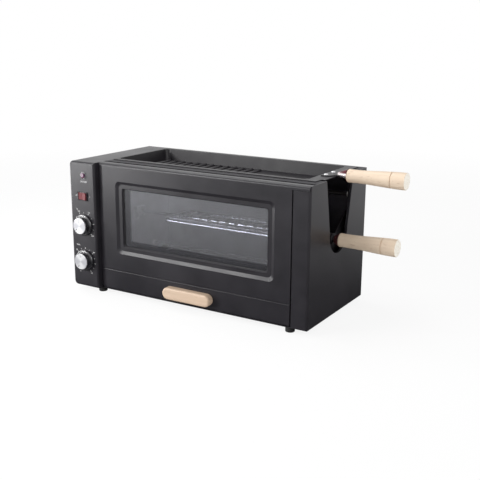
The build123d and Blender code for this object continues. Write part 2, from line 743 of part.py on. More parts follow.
def wooden_handle(x_start, length, start, end, y, z):
    """Turned handle, slightly waisted, with a groove near its wider end."""
    profile = [
        (0, start / 2), (length * waist_place, start / 2 * waist_share),
        (length * swell_place, (start + end) / 4 * swell_share), (length, end / 2),
    ]
    with BuildPart() as handle:
        add(revolved_about_x(profile, x_start, y, z))
        fillet(handle.faces().sort_by(Axis.X)[0].edges(), handle_round[0])
        fillet(handle.faces().sort_by(Axis.X)[-1].edges(), handle_round[1])
        x_groove = x_start + length * groove_place
        with Locations(Plane(origin=(x_groove, y, z), z_dir=(1, 0, 0))):
            Torus(start / 4 + end / 4 + groove_lift, handle_groove / 2, mode=Mode.SUBTRACT)
        rod((x_start - past, y, z), (x_start + tang_depth + tang_end_gap, y, z),
            tang_diameter / 2 + running_clearance, Mode.SUBTRACT)
    return handle


def ferrule(x_start, x_end, small, large, y, z, hole):
    """Thin cone that covers the joint between a bar and a wooden handle."""
    with BuildPart() as cup:
        with Locations(Plane(origin=(x_start, y, z), z_dir=(1, 0, 0))):
            Cone(small, large, x_end - x_start, align=(Align.CENTER, Align.CENTER, Align.MIN))
        with Locations(Plane(origin=(x_start + ferrule_wall, y, z), z_dir=(1, 0, 0))):
            Cone(small - ferrule_wall, large - ferrule_wall, x_end - x_start,
                 align=(Align.CENTER, Align.CENTER, Align.MIN), mode=Mode.SUBTRACT)
        rod((x_start - past, y, z), (x_start + 2 * ferrule_wall, y, z), hole, Mode.SUBTRACT)
    return cup


# Grill pan with its rim, sloping end and ribs
bracket_sheet = 1.6
bracket_width = 38.0
rivet_spacing = 26.0
rivet_diameter = 4.0
rivet_head = 7.0
rivet_head_height = 1.6
rivet_tail = (5.8, 1.2)
rivet_inset = 19.0
rivet_x = x_right - rivet_inset
bracket_half = 6.0
rim_round = 2.4
rim_overlap = 2.0
pan_floor = z_top - pan_depth
rim_x = (x_wall + 2 * seam, frame_end + rim_overlap)
rim_y = (well_y[0] - pan_rim, well_y[1] + pan_rim)
tongue_x = x_right - tongue_reach


def pan_outline(height, inset, slope, shrink=0.0):
    """Rounded rectangle of the pan at one height, in from the well edge."""
    x0, x1 = well_x[0] + inset + shrink, well_x[1] - slope - shrink
    y0, y1 = well_y[0] + inset + shrink, well_y[1] - inset - shrink
    with BuildSketch(Plane.XY.offset(height)) as outline:
        with Locations(((x0 + x1) / 2, (y0 + y1) / 2)):
            RectangleRounded(x1 - x0, y1 - y0, pan_round - shrink)
    return outline.sketch


with BuildPart() as grill_pan:
    with BuildSketch(Plane.XY.offset(z_top)) as rim:
        with Locations(((rim_x[0] + rim_x[1]) / 2, (rim_y[0] + rim_y[1]) / 2)):
            Rectangle(rim_x[1] - rim_x[0], rim_y[1] - rim_y[0])
        with Locations((tongue_x, y_mid)):
            Rectangle(pan_rim_end, tongue_width, align=(Align.MAX, Align.CENTER))
        fillet(rim.vertices(), rim_round)
    extrude(amount=pan_sheet)
    loft([pan_outline(pan_floor, pan_taper, pan_slope), pan_outline(z_top + pan_sheet, 0, 0)])
    loft([pan_outline(pan_floor + pan_sheet, pan_taper, pan_slope, pan_sheet),
          pan_outline(z_top + pan_sheet + 0.01, 0, 0, pan_sheet)], mode=Mode.SUBTRACT)
    with BuildSketch(Plane.XZ.offset(-(well_y[0] + pan_taper + rib_end_gap))):
        for i in range(rib_count):
            with Locations((well_x[0] + 2 * pan_round + rib_pitch * i, pan_floor + pan_sheet)):
                Ellipse(rib_width / 2, rib_height)
    extrude(amount=-(well_y[1] - well_y[0] - 2 * pan_taper - 2 * rib_end_gap))
    span((well_x[0], well_x[1]), (well_y[0], well_y[1]), (pan_floor - 2 * rib_height, pan_floor),
         Mode.SUBTRACT)
    for side in (-1, 1):
        y = y_mid + side * rivet_spacing / 2
        rod((rivet_x, y, z_top - past), (rivet_x, y, z_top + pan_sheet + past), rivet_diameter / 2,
            Mode.SUBTRACT)
save(grill_pan, "grill_pan")

# Bracket and tang of the pan handle
z_handle = z_top + pan_handle_height
pan_handle_x = x_left + overall_length - pan_handle_length
pan_ferrule_x = pan_handle_x - pan_ferrule_length
z_bracket = z_top + pan_sheet
z_rivet = z_bracket + bracket_sheet
with BuildPart() as pan_bracket:
    with BuildSketch(Plane.XY.offset(z_bracket)):
        with BuildLine():
            Polyline(
                (rivet_x - bracket_half, y_mid - bracket_width / 2),
                (rivet_x + bracket_half, y_mid - bracket_width / 2),
                (pan_ferrule_x, y_mid - bracket_neck / 2), (pan_ferrule_x, y_mid + bracket_neck / 2),
                (rivet_x + bracket_half, y_mid + bracket_width / 2),
                (rivet_x - bracket_half, y_mid + bracket_width / 2), close=True,
            )
        make_face()
    extrude(amount=bracket_sheet)
    rod((tongue_x, y_mid, z_handle), (pan_handle_x + tang_depth, y_mid, z_handle), tang_diameter / 2)
    for side in (-1, 1):
        y = y_mid + side * rivet_spacing / 2
        rod((rivet_x, y, z_bracket - past), (rivet_x, y, z_rivet + past), rivet_diameter / 2, Mode.SUBTRACT)
save(pan_bracket, "pan_bracket")

with BuildPart() as pan_rivets:
    for side in (-1, 1):
        y = y_mid + side * rivet_spacing / 2
        rod((rivet_x, y, z_top), (rivet_x, y, z_rivet), rivet_diameter / 2 - running_clearance)
        rod((rivet_x, y, z_rivet), (rivet_x, y, z_rivet + rivet_head_height), rivet_head / 2)
        rod((rivet_x, y, z_top - rivet_tail[1]), (rivet_x, y, z_top), rivet_tail[0] / 2)
    fillet(pan_rivets.faces().group_by(Axis.Z)[-1].edges(), rivet_head_height * 0.75)
save(pan_rivets, "pan_rivets")

ferrule_small = 1.5
ferrule_setback = 0.3
pan_ferrule = ferrule(pan_ferrule_x, pan_handle_x, tang_diameter / 2 + ferrule_small,
                      pan_handle_start / 2 - ferrule_setback,
                      y_mid, z_handle, tang_diameter / 2 + running_clearance)
save(pan_ferrule, "pan_ferrule")

pan_handle = wooden_handle(pan_handle_x, pan_handle_length, pan_handle_start, pan_handle_end, y_mid, z_handle)
save(pan_handle, "pan_handle")

# Lifting bush that lies in the cradle of the right liner
bush_middle = x_liner[1] + sheet / 2
groove_half = sheet / 2 + seat_clearance
bush_round = 0.6
bush_x = (bush_middle - bush_length / 2, bush_middle + bush_length / 2)
with BuildPart() as shaft_bush:
    rod((bush_x[0], y_mid, z_axis), (bush_middle - groove_half, y_mid, z_axis), bush_diameter / 2)
    rod((bush_middle + groove_half, y_mid, z_axis), (bush_x[1], y_mid, z_axis), bush_diameter / 2)
    fillet(shaft_bush.edges().filter_by(GeomType.CIRCLE), bush_round)
    rod((bush_x[0] + sheet, y_mid, z_axis), (bush_x[1] - sheet, y_mid, z_axis), bush_groove_diameter / 2)
    rod((bush_x[0] - past, y_mid, z_axis), (bush_x[1] + past, y_mid, z_axis),
        shaft_radius + running_clearance, Mode.SUBTRACT)
save(shaft_bush, "shaft_bush")

# Turning basket: welded wire frame on its shaft
collar_gap = 0.3
collar_length = 0.8
collar_wall = 1.5
collar_radius = shaft_radius + collar_wall
ferrule_end_gap = 0.2
handle_x = x_right + handle_base_gap
basket_ferrule_x = bush_x[1] + collar_gap + collar_length + ferrule_end_gap
basket_x = (x_left + basket_left_inset, x_right - basket_right_inset)
basket_y = (y_mid - basket_width / 2, y_mid + basket_width / 2)
wire_count = round((basket_x[1] - basket_x[0]) / cross_pitch)
wire_step = (basket_x[1] - basket_x[0]) / wire_count


def wire_loop(x, y, z, diameter, corner):
    """Closed loop of round wire with rounded corners."""
    with BuildPart() as loop:
        with BuildLine(Plane.XY.offset(z)) as path:
            FilletPolyline((x[0], y[0]), (x[1], y[0]), (x[1], y[1]), (x[0], y[1]), radius=corner, close=True)
        start = path.wires()[0] @ 0
        with BuildSketch(Plane(origin=start, z_dir=path.wires()[0] % 0)):
            Circle(diameter / 2)
        sweep(path=path.wires()[0])
    return loop.part


weld_sink = 0.2
with BuildPart() as wire_basket:
    add(wire_loop(basket_x, basket_y, z_axis, frame_wire, basket_corner))
    rod((shaft_left, y_mid, z_axis), (basket_ferrule_x, y_mid, z_axis), shaft_radius)
    rod((basket_ferrule_x, y_mid, z_axis), (handle_x + tang_depth, y_mid, z_axis), tang_diameter / 2)
    for x0, x1 in ((bush_x[0] - collar_gap - collar_length, bush_x[0] - collar_gap),
                   (bush_x[1] + collar_gap, bush_x[1] + collar_gap + collar_length)):
        rod((x0, y_mid, z_axis), (x1, y_mid, z_axis), collar_radius)
    z_cross = z_axis - frame_wire / 2 + weld_sink
    for i in range(1, wire_count):
        x = basket_x[0] + wire_step * i
        rod((x, basket_y[0], z_cross), (x, basket_y[1], z_cross), cross_wire / 2)
save(wire_basket, "wire_basket")

# Upper leaf of the basket, hinged on the rear frame wire
lid_z = z_axis + shaft_radius + lid_gap + lid_wire / 2
lid_inset = wire_step / 2
lid_x = (basket_x[0] + lid_inset, basket_x[1] - lid_inset)
lid_y = (basket_y[0], basket_y[1] - eye_diameter)
eye_inset = 2.5 * wire_step
eye_x = (basket_x[0] + eye_inset, basket_x[1] - eye_inset)
with BuildPart() as basket_lid:
    add(wire_loop(lid_x, lid_y, lid_z, lid_wire, basket_corner - cross_wire))
    for i in range(1, wire_count - 1):
        x = lid_x[0] + wire_step * i
        rod((x, lid_y[0], lid_z), (x, lid_y[1], lid_z), cross_wire / 2)
    for x in eye_x:
        rod((x - eye_width / 2, basket_y[1], z_axis), (x + eye_width / 2, basket_y[1], z_axis),
            eye_diameter / 2)
        rod((x, lid_y[1], lid_z), (x, basket_y[1] - frame_wire / 2 - lid_gap, z_axis + frame_wire / 2),
            cross_wire / 2 + weld_sink)
        rod((x - eye_width, basket_y[1], z_axis), (x + eye_width, basket_y[1], z_axis),
            frame_wire / 2 + running_clearance, Mode.SUBTRACT)
save(basket_lid, "basket_lid")

basket_ferrule_small = 6.0
basket_ferrule = ferrule(basket_ferrule_x, handle_x, basket_ferrule_small,
                         basket_handle_start / 2 - ferrule_setback, y_mid, z_axis,
                         tang_diameter / 2 + running_clearance)
save(basket_ferrule, "basket_ferrule")

basket_handle = wooden_handle(handle_x, basket_handle_length, basket_handle_start, basket_handle_end,
                              y_mid, z_axis)
save(basket_handle, "basket_handle")

# Thermostat and timer behind the control panel, each with its shaft, knob and cap
y_inner = y_panel + sheet
control_width = 30.0
control_height = 34.0
bore_depth = 14.0
knob_bore_depth = 8.5
cap_thickness = 1.2
cap_recess = 0.6
y_knob = y_panel - knob_gap
y_knob_face = y_knob - knob_height
thermostat_depth, timer_depth = 22.0, 34.0
controls = [("thermostat", upper_knob_height, thermostat_depth), ("timer", lower_knob_height, timer_depth)]
body_corner = 3.0
grip_taper = 0.7
face_round = 0.5
skirt_round = 2.4
flute_radius = 1.2
flute_offset = 0.7
flute_end_gap = 1.6
knob_hollow = 2.6
knob_wall = 3.0
pointer_offset = knob_cap_diameter * 0.32
pointer_size = (knob_cap_diameter * 0.26, 1.4)
pointer_depth = 0.5
shaft_end_play = 0.3


def control_body(height, depth):
    """Housing of a rotary control with the bore for its shaft."""
    z = z_base + height
    with BuildPart() as body:
        span((knob_x - control_width / 2, knob_x + control_width / 2), (y_inner, y_inner + depth),
             (z - control_height / 2, z + control_height / 2))
        fillet(body.edges().filter_by(Axis.Y), body_corner)
        rod((knob_x, y_panel, z), (knob_x, y_inner + past, z), shaft_hole / 2 - screw_clearance)
        rod((knob_x, y_panel - past, z), (knob_x, y_inner + bore_depth, z), shaft_radius + running_clearance,
            Mode.SUBTRACT)
    return body


def control_knob(height):
    """Fluted round knob with a skirt and a recess for its cap."""
    z = z_base + height
    plane = Plane(origin=(knob_x, y_knob, z), x_dir=(1, 0, 0), z_dir=(0, -1, 0))
    grip = knob_grip_diameter / 2
    with BuildPart() as knob:
        with Locations(plane):
            Cylinder(knob_diameter / 2, knob_skirt, align=(Align.CENTER, Align.CENTER, Align.MIN))
        fillet(knob.faces().sort_by(Axis.Y)[0].edges(), skirt_round)
        with Locations(plane):
            Cone(grip, grip - grip_taper, knob_height, align=(Align.CENTER, Align.CENTER, Align.MIN))
        fillet(knob.faces().sort_by(Axis.Y)[0].edges(), face_round)
        with BuildSketch(plane.offset(knob_skirt)):
            with PolarLocations(grip + flute_offset, knob_flutes):
                Circle(flute_radius)
        extrude(amount=knob_height - knob_skirt - flute_end_gap, mode=Mode.SUBTRACT)
        with BuildSketch(plane.offset(knob_height)):
            Circle(knob_cap_diameter / 2)
        extrude(amount=-cap_recess, mode=Mode.SUBTRACT)
        with BuildSketch(plane):
            Circle(shaft_radius + running_clearance)
        extrude(amount=knob_bore_depth, mode=Mode.SUBTRACT)
        with BuildSketch(plane):
            Circle(knob_diameter / 2 - knob_wall)
            Circle(shaft_radius + knob_wall, mode=Mode.SUBTRACT)
        extrude(amount=knob_hollow, mode=Mode.SUBTRACT)
    return knob


def knob_cap(height):
    """Metal disc in the knob's face, with a pointer groove."""
    z = z_base + height
    plane = Plane(origin=(knob_x, y_knob_face + cap_recess, z), x_dir=(1, 0, 0), z_dir=(0, -1, 0))
    with BuildPart() as cap:
        with BuildSketch(plane):
            Circle(knob_cap_diameter / 2 - running_clearance)
        extrude(amount=cap_thickness)
        fillet(cap.faces().sort_by(Axis.Y)[0].edges(), face_round)
        with BuildSketch(plane.offset(cap_thickness)):
            with Locations((0, pointer_offset)):
                SlotOverall(*pointer_size, rotation=90)
        extrude(amount=-pointer_depth, mode=Mode.SUBTRACT)
    return cap


def control_shaft(height):
    """Round shaft from the control into the knob."""
    z = z_base + height
    with BuildPart() as shaft:
        rod((knob_x, y_inner + bore_depth - shaft_end_play, z),
            (knob_x, y_knob - knob_bore_depth + shaft_end_play, z), shaft_radius)
    return shaft


for name, height, depth in controls:
    save(control_body(height, depth), f"{name}_body")
    save(control_shaft(height), f"{name}_shaft")
    save(control_knob(height), f"{name}_knob")
    save(knob_cap(height), f"{name}_knob_cap")

# Rocker switch
switch_z = z_base + switch_height
bezel_thickness = 1.8
bezel_round = 0.7
bezel_wall = 0.5
switch_body_depth = 16.0
key_gap = 0.4
key_side_gap = 0.4
key_well = 4.6
pivot_depth = 0.6
y_pivot = y_panel + pivot_depth
pin_radius = 1.0
pin_reach = 0.8
pin_end_gap = 0.1
with BuildPart() as switch_body:
    span((knob_x - switch_width / 2, knob_x + switch_width / 2), (y_panel - bezel_thickness, y_panel),
         (switch_z - switch_depth / 2, switch_z + switch_depth / 2))
    fillet(switch_body.faces().sort_by(Axis.Y)[0].edges(), bezel_round)
    span((knob_x - switch_width / 2 + bezel_wall, knob_x + switch_width / 2 - bezel_wall),
         (y_panel, y_panel + switch_body_depth),
         (switch_z - switch_depth / 2 + bezel_wall, switch_z + switch_depth / 2 - bezel_wall))
    span((knob_x - key_width / 2 - key_side_gap, knob_x + key_width / 2 + key_side_gap),
         (y_panel - bezel_thickness - past, y_pivot + key_well),
         (switch_z - key_height / 2 - key_gap, switch_z + key_height / 2 + key_gap), Mode.SUBTRACT)
    pin_half = key_height / 2 + pin_reach
    rod((knob_x, y_pivot, switch_z - pin_half - pin_end_gap),
        (knob_x, y_pivot, switch_z + pin_half + pin_end_gap), pin_radius + running_clearance, Mode.SUBTRACT)
save(switch_body, "switch_body")

key_plane = Plane(origin=(knob_x, y_pivot, switch_z - key_height / 2),
                  x_dir=Vector(1, 0, 0).rotate(Axis.Z, -key_tilt), z_dir=(0, 0, 1))
key_end_gap = 0.3
half_key = key_width / 2 - key_end_gap
key_face = 3.2
key_dip = 1.7
key_side = 1.0
key_taper = 0.8
key_back = (3.5, 3.0)
with BuildPart() as rocker_key:
    with BuildSketch(key_plane):
        with BuildLine():
            Polyline(
                (-half_key, -key_face), (0, -key_dip), (half_key, -key_face),
                (half_key - key_taper, key_side), key_back, (-key_back[0], key_back[1]),
                (key_taper - half_key, key_side), close=True,
            )
        make_face()
    extrude(amount=key_height)
    rod((knob_x, y_pivot, switch_z - pin_half), (knob_x, y_pivot, switch_z + pin_half), pin_radius)
save(rocker_key, "rocker_key")

# Pilot lamp
lamp_z = z_base + lamp_height
lamp_plane = Plane(origin=(lamp_x, y_panel, lamp_z), x_dir=(1, 0, 0), z_dir=(0, -1, 0))
lamp_flange = 0.8
lamp_rim = 1.2
lamp_wall = 0.8
lamp_length = 14.0
lens_reach = 3.3
lens_depth = 4.5
lens_round = 1.8
with BuildPart() as lamp_body:
    with Locations(lamp_plane):
        Cylinder(lamp_diameter / 2 + lamp_rim, lamp_flange, align=(Align.CENTER, Align.CENTER, Align.MIN))
        Cylinder(lamp_diameter / 2 - running_clearance, lamp_length,
                 align=(Align.CENTER, Align.CENTER, Align.MAX))
        Cylinder(lamp_diameter / 2 - lamp_wall, 2 * (lens_depth + seam), mode=Mode.SUBTRACT)
save(lamp_body, "lamp_body")

with BuildPart() as lamp_lens:
    with Locations(lamp_plane):
        lens_radius = lamp_diameter / 2 - lamp_wall - running_clearance
        Cylinder(lens_radius, lens_reach, align=(Align.CENTER, Align.CENTER, Align.MIN))
        Cylinder(lens_radius, lens_depth, align=(Align.CENTER, Align.CENTER, Align.MAX))
    fillet(lamp_lens.faces().sort_by(Axis.Y)[0].edges(), lens_round)
save(lamp_lens, "lamp_lens")

# Terminal block on the base plate
block_inset = 40.0
block_size = (32.0, 14.0, 12.0)
block_pitch = 10.0
wire_hole = 4.4
clamp_hole = 3.6
with BuildPart() as terminal_block:
    y_block = y_rear - block_inset
    z_hole = z_deck + block_size[2] / 2
    span((knob_x - block_size[0] / 2, knob_x + block_size[0] / 2), (y_block, y_block + block_size[1]),
         (z_deck, z_deck + block_size[2]))
    for step in (-1, 0, 1):
        x = knob_x + block_pitch * step
        rod((x, y_block - past, z_hole), (x, y_block + block_size[1] + past, z_hole), wire_hole / 2,
            Mode.SUBTRACT)
        y = y_block + block_size[1] / 2
        rod((x, y, z_hole), (x, y, z_deck + block_size[2] + past), clamp_hole / 2, Mode.SUBTRACT)
save(terminal_block, "terminal_block")
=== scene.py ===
import math
import random

import bpy
from mathutils import Matrix, Vector


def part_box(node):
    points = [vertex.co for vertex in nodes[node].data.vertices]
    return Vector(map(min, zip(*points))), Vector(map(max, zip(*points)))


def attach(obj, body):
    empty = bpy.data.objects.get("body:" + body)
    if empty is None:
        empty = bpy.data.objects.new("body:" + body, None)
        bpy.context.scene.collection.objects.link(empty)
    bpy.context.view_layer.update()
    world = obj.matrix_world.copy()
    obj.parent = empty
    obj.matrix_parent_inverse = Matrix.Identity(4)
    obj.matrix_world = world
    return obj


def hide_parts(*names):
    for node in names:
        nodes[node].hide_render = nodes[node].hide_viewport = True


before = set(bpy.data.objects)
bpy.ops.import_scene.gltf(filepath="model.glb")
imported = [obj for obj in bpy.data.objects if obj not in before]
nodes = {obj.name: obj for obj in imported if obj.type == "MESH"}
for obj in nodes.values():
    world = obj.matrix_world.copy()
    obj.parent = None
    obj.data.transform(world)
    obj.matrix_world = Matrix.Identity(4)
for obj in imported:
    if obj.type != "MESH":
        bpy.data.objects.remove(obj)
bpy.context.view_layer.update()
scene = bpy.context.scene


# helpers for modelling by hand

def deselectAll():
    if bpy.context.object and bpy.context.object.mode != "OBJECT":
        bpy.ops.object.mode_set(mode="OBJECT")
    bpy.ops.object.select_all(action="DESELECT")


def pick(*pieces):
    deselectAll()
    for piece in pieces:
        piece.select_set(True)
    bpy.context.view_layer.objects.active = pieces[0]
    return pieces[0]


def selectFaces(piece, wanted):
    # picks faces by place or normal, ready for an edit-mode operator
    bpy.ops.object.mode_set(mode="OBJECT")
    for part in (piece.data.vertices, piece.data.edges, piece.data.polygons):
        part.foreach_set("select", [False] * len(part))
    for face in piece.data.polygons:
        face.select = wanted(face)
    bpy.ops.object.mode_set(mode="EDIT")
    bpy.ops.mesh.select_mode(type="FACE")


def applyModifier(piece, kind, **settings):
    pick(piece)
    modifier = piece.modifiers.new(kind.lower(), kind)
    for key, value in settings.items():
        setattr(modifier, key, value)
    bpy.ops.object.modifier_apply(modifier=modifier.name)


def settle(piece, place=(0, 0, 0), turn=(0, 0, 0)):
    # puts a piece in place and leaves its object at the origin
    pick(piece)
    piece.location = place
    piece.rotation_euler = turn
    bpy.ops.object.transform_apply(location=True, rotation=True, scale=True)
    return piece


def copyOf(piece, name):
    twin = piece.copy()
    twin.data = piece.data.copy()
    twin.name = name
    scene.collection.objects.link(twin)
    return twin


def joined(pieces, name):
    first = pick(*pieces)
    if len(pieces) > 1:
        bpy.ops.object.join()
    first.name = name
    first.data.name = name
    return first


def finishPiece(piece, body, finish, smoothAngle=math.radians(35)):
    pick(piece)
    if smoothAngle:
        bpy.ops.object.shade_smooth_by_angle(angle=smoothAngle)
    piece.data.materials.clear()
    piece.data.materials.append(finish)
    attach(piece, body)
    return piece


# helpers for materials

def newFinish(name):
    made = bpy.data.materials.new(name)
    made.use_nodes = True
    tree = made.node_tree
    tree.nodes.clear()
    output = tree.nodes.new("ShaderNodeOutputMaterial")
    output.location = (900, 0)
    surface = tree.nodes.new("ShaderNodeBsdfPrincipled")
    surface.location = (600, 0)
    tree.links.new(surface.outputs["BSDF"], output.inputs["Surface"])
    return made, tree, surface


def addNode(tree, kind, place, sockets=None, **settings):
    node = tree.nodes.new(kind)
    node.location = place
    for key, value in settings.items():
        setattr(node, key, value)
    for key, value in (sockets or {}).items():
        node.inputs[key].default_value = value
    return node


def objectPlaces(tree, centre=(0, 0, 0), stretch=(1, 1, 1), turn=(0, 0, 0)):
    # Object coordinates, centred, turned and stretched for a pattern
    source = addNode(tree, "ShaderNodeTexCoord", (-1300, 0))
    shift = addNode(tree, "ShaderNodeMapping", (-1100, 0), {"Location": [-c for c in centre]})
    tree.links.new(source.outputs["Object"], shift.inputs["Vector"])
    scaled = addNode(tree, "ShaderNodeMapping", (-900, 0), {"Rotation": turn, "Scale": stretch})
    tree.links.new(shift.outputs["Vector"], scaled.inputs["Vector"])
    return scaled.outputs["Vector"]


def noise(tree, vector, scale, detail=3.0, rough=0.55, place=(-650, 0)):
    made = addNode(tree, "ShaderNodeTexNoise", place, {"Scale": scale, "Detail": detail, "Roughness": rough})
    tree.links.new(vector, made.inputs["Vector"])
    return made.outputs["Fac"]


def spread(tree, value, low, high, start=0.3, end=0.7, place=(-350, 0)):
    # turns a pattern's 0.3 to 0.7 into the two values that a socket needs
    made = addNode(tree, "ShaderNodeMapRange", place,
                   {"From Min": start, "From Max": end, "To Min": low, "To Max": high})
    tree.links.new(value, made.inputs["Value"])
    return made.outputs["Result"]


def shades(tree, value, stops, place=(-350, 250)):
    ramp = addNode(tree, "ShaderNodeValToRGB", place)
    tree.links.new(value, ramp.inputs["Fac"])
    points = ramp.color_ramp.elements
    while len(points) < len(stops):
        points.new(0.5)
    for point, (position, colour) in zip(points, stops):
        point.position = position
        point.color = (*colour, 1)
    return ramp.outputs["Color"]


def relief(tree, height, depth, strength=1.0, under=None, place=(300, -400)):
    made = addNode(tree, "ShaderNodeBump", place, {"Strength": strength, "Distance": depth})
    tree.links.new(height, made.inputs["Height"])
    if under is not None:
        tree.links.new(under, made.inputs["Normal"])
    return made.outputs["Normal"]


def softEdges(tree, radius, place=(0, -500)):
    made = addNode(tree, "ShaderNodeBevel", place, {"Radius": radius}, samples=4)
    return made.outputs["Normal"]


def middle(name):
    low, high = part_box(name)
    return (low + high) / 2


def dress(finish, *names):
    for name in names:
        for place in nodes[name].material_slots:
            place.material = finish
        if not nodes[name].material_slots:
            nodes[name].data.materials.append(finish)


cameraLook = {
    "place": (0.6695, -1.10015, 0.4439),
    "turnDegrees": 31.296,       # round the object, to the right
    "downDegrees": 14.693,
    "rollRadians": 0.0065,
    "lens": 59.83,
    "sensor": 36.0,
}


def makeCamera(look):
    turn, down = math.radians(look["turnDegrees"]), math.radians(look["downDegrees"])
    ahead = Vector((-math.sin(turn) * math.cos(down), math.cos(turn) * math.cos(down), -math.sin(down)))
    right = Vector((math.cos(turn), math.sin(turn), 0))
    up = right.cross(ahead)
    c, s = math.cos(look["rollRadians"]), math.sin(look["rollRadians"])
    rolledRight, rolledUp = c * right + s * up, c * up - s * right
    data = bpy.data.cameras.new("productCamera")
    data.lens, data.sensor_width = look["lens"], look["sensor"]
    data.clip_start, data.clip_end = 0.01, 50
    camera = bpy.data.objects.new("productCamera", data)
    scene.collection.objects.link(camera)
    turned = Matrix((rolledRight, rolledUp, -ahead)).transposed().to_4x4()
    camera.matrix_world = Matrix.Translation(look["place"]) @ turned
    scene.camera = camera


roomLook = {
    "ambient": 0.50,             # what matt surfaces get from the room
    "floorRadius": 2.2,
    "floorFadeStart": 0.9,
    "floorFadeEnd": 1.9,
    "floorColour": (0.86, 0.86, 0.86, 1),
    "floorGlow": 0.88,           # share of plain white the camera sees on the floor
    "reflectedShadeNear": (0.24, 0.08),   # painted shade on the floor as seen in reflections: distance and brightness close to the case
    "reflectedShadeEnd": (1.15, 1.0),
}

lampsLook = [
    # name, place, width, height, watts, how much of it matt surfaces take
    ("keyLeft", (-1.12, -1.0, 0.16), 0.30, 0.30, 7.2, 1.0),
    ("edgeStrip", (-0.82, -1.08, 0.70), 0.80, 0.18, 12.5, 0.12),
    ("lowLeft", (-0.80, -0.25, 0.10), 0.16, 0.16, 1.0, 0.10),
    ("topSoft", (-0.60, 0.02, 1.35), 0.9, 0.9, 9.0, 1.0),
    ("fillRight", (1.6, -0.6, 0.9), 0.9, 0.9, 9.0, 1.0),
]


def seenDirectly(tree, place=(-900, 300)):
    # 1 for camera, mirror and see-through rays, so metal and glass show the white room too
    path = addNode(tree, "ShaderNodeLightPath", place)
    first = addNode(tree, "ShaderNodeMath", (place[0] + 200, place[1]), operation="MAXIMUM")
    second = addNode(tree, "ShaderNodeMath", (place[0] + 400, place[1]), operation="MAXIMUM")
    tree.links.new(path.outputs["Is Camera Ray"], first.inputs[0])
    tree.links.new(path.outputs["Is Glossy Ray"], first.inputs[1])
    tree.links.new(first.outputs[0], second.inputs[0])
    tree.links.new(path.outputs["Is Transmission Ray"], second.inputs[1])
    return second.outputs[0]


def makeRoom(look):
    world = bpy.data.worlds.new("paleRoom")
    scene.world = world
    world.use_nodes = True
    tree = world.node_tree
    tree.nodes.clear()
    output = addNode(tree, "ShaderNodeOutputWorld", (600, 0))
    dim = addNode(tree, "ShaderNodeBackground", (0, 100), {"Strength": look["ambient"]})
    white = addNode(tree, "ShaderNodeBackground", (0, -100), {"Strength": 1.0})
    for sky in (dim, white):
        sky.inputs["Color"].default_value = (1, 1, 1, 1)
    mix = addNode(tree, "ShaderNodeMixShader", (300, 0))
    tree.links.new(seenDirectly(tree), mix.inputs["Fac"])
    tree.links.new(dim.outputs[0], mix.inputs[1])
    tree.links.new(white.outputs[0], mix.inputs[2])
    tree.links.new(mix.outputs[0], output.inputs["Surface"])

    deselectAll()
    bpy.ops.mesh.primitive_circle_add(vertices=96, radius=look["floorRadius"], fill_type="NGON")
    floor = bpy.context.object
    floor.name = "floor"
    made = bpy.data.materials.new("paleFloor")
    made.use_nodes = True
    tree = made.node_tree
    tree.nodes.clear()
    output = addNode(tree, "ShaderNodeOutputMaterial", (1000, 0))
    matt = addNode(tree, "ShaderNodeBsdfDiffuse", (0, 100), {"Color": look["floorColour"]})
    glow = addNode(tree, "ShaderNodeEmission", (0, -100), {"Color": (1, 1, 1, 1), "Strength": 1.0})
    clear = addNode(tree, "ShaderNodeBsdfTransparent", (400, -250))
    share = addNode(tree, "ShaderNodeMath", (0, 300), operation="MULTIPLY")
    share.inputs[1].default_value = look["floorGlow"]
    tree.links.new(seenDirectly(tree), share.inputs[0])
    lit = addNode(tree, "ShaderNodeMixShader", (200, 100))
    tree.links.new(share.outputs[0], lit.inputs["Fac"])
    tree.links.new(matt.outputs[0], lit.inputs[1])
    tree.links.new(glow.outputs[0], lit.inputs[2])
    far = addNode(tree, "ShaderNodeVectorMath", (-300, -300), operation="LENGTH")
    tree.links.new(objectPlaces(tree), far.inputs[0])
    # painted shade: in reflections the floor darkens towards the case
    near, away = look["reflectedShadeNear"], look["reflectedShadeEnd"]
    shadedReflection = addNode(tree, "ShaderNodeEmission", (200, -100), {"Color": (1, 1, 1, 1)})
    tree.links.new(spread(tree, far.outputs["Value"], near[1], away[1], near[0], away[0], (0, -100)),
                   shadedReflection.inputs["Strength"])
    path = addNode(tree, "ShaderNodeLightPath", (200, 400))
    both = addNode(tree, "ShaderNodeMixShader", (450, 100))
    tree.links.new(path.outputs["Is Glossy Ray"], both.inputs["Fac"])
    tree.links.new(lit.outputs[0], both.inputs[1])
    tree.links.new(shadedReflection.outputs[0], both.inputs[2])
    fade = spread(tree, far.outputs["Value"], 0, 1, look["floorFadeStart"], look["floorFadeEnd"], (0, -300))
    ends = addNode(tree, "ShaderNodeMixShader", (700, 0))
    tree.links.new(fade, ends.inputs["Fac"])
    tree.links.new(both.outputs[0], ends.inputs[1])
    tree.links.new(clear.outputs[0], ends.inputs[2])
    tree.links.new(ends.outputs[0], output.inputs["Surface"])
    floor.data.materials.append(made)


lampsAim = (-0.03, 0.0, 0.11)


def makeLamps(rows):
    aim = Vector(lampsAim)
    for name, place, width, height, watts, mattShare in rows:
        data = bpy.data.lights.new(name, "AREA")
        data.shape, data.size, data.size_y = "ELLIPSE", width, height
        data.energy, data.diffuse_factor = watts, mattShare
        lamp = bpy.data.objects.new(name, data)
        scene.collection.objects.link(lamp)
        lamp.location = place
        lamp.rotation_euler = (aim - Vector(place)).to_track_quat("-Z", "Y").to_euler()


makeCamera(cameraLook)
makeRoom(roomLook)
makeLamps(lampsLook)
scene.view_settings.view_transform = "Standard"
print("camera, room and lamps ready")


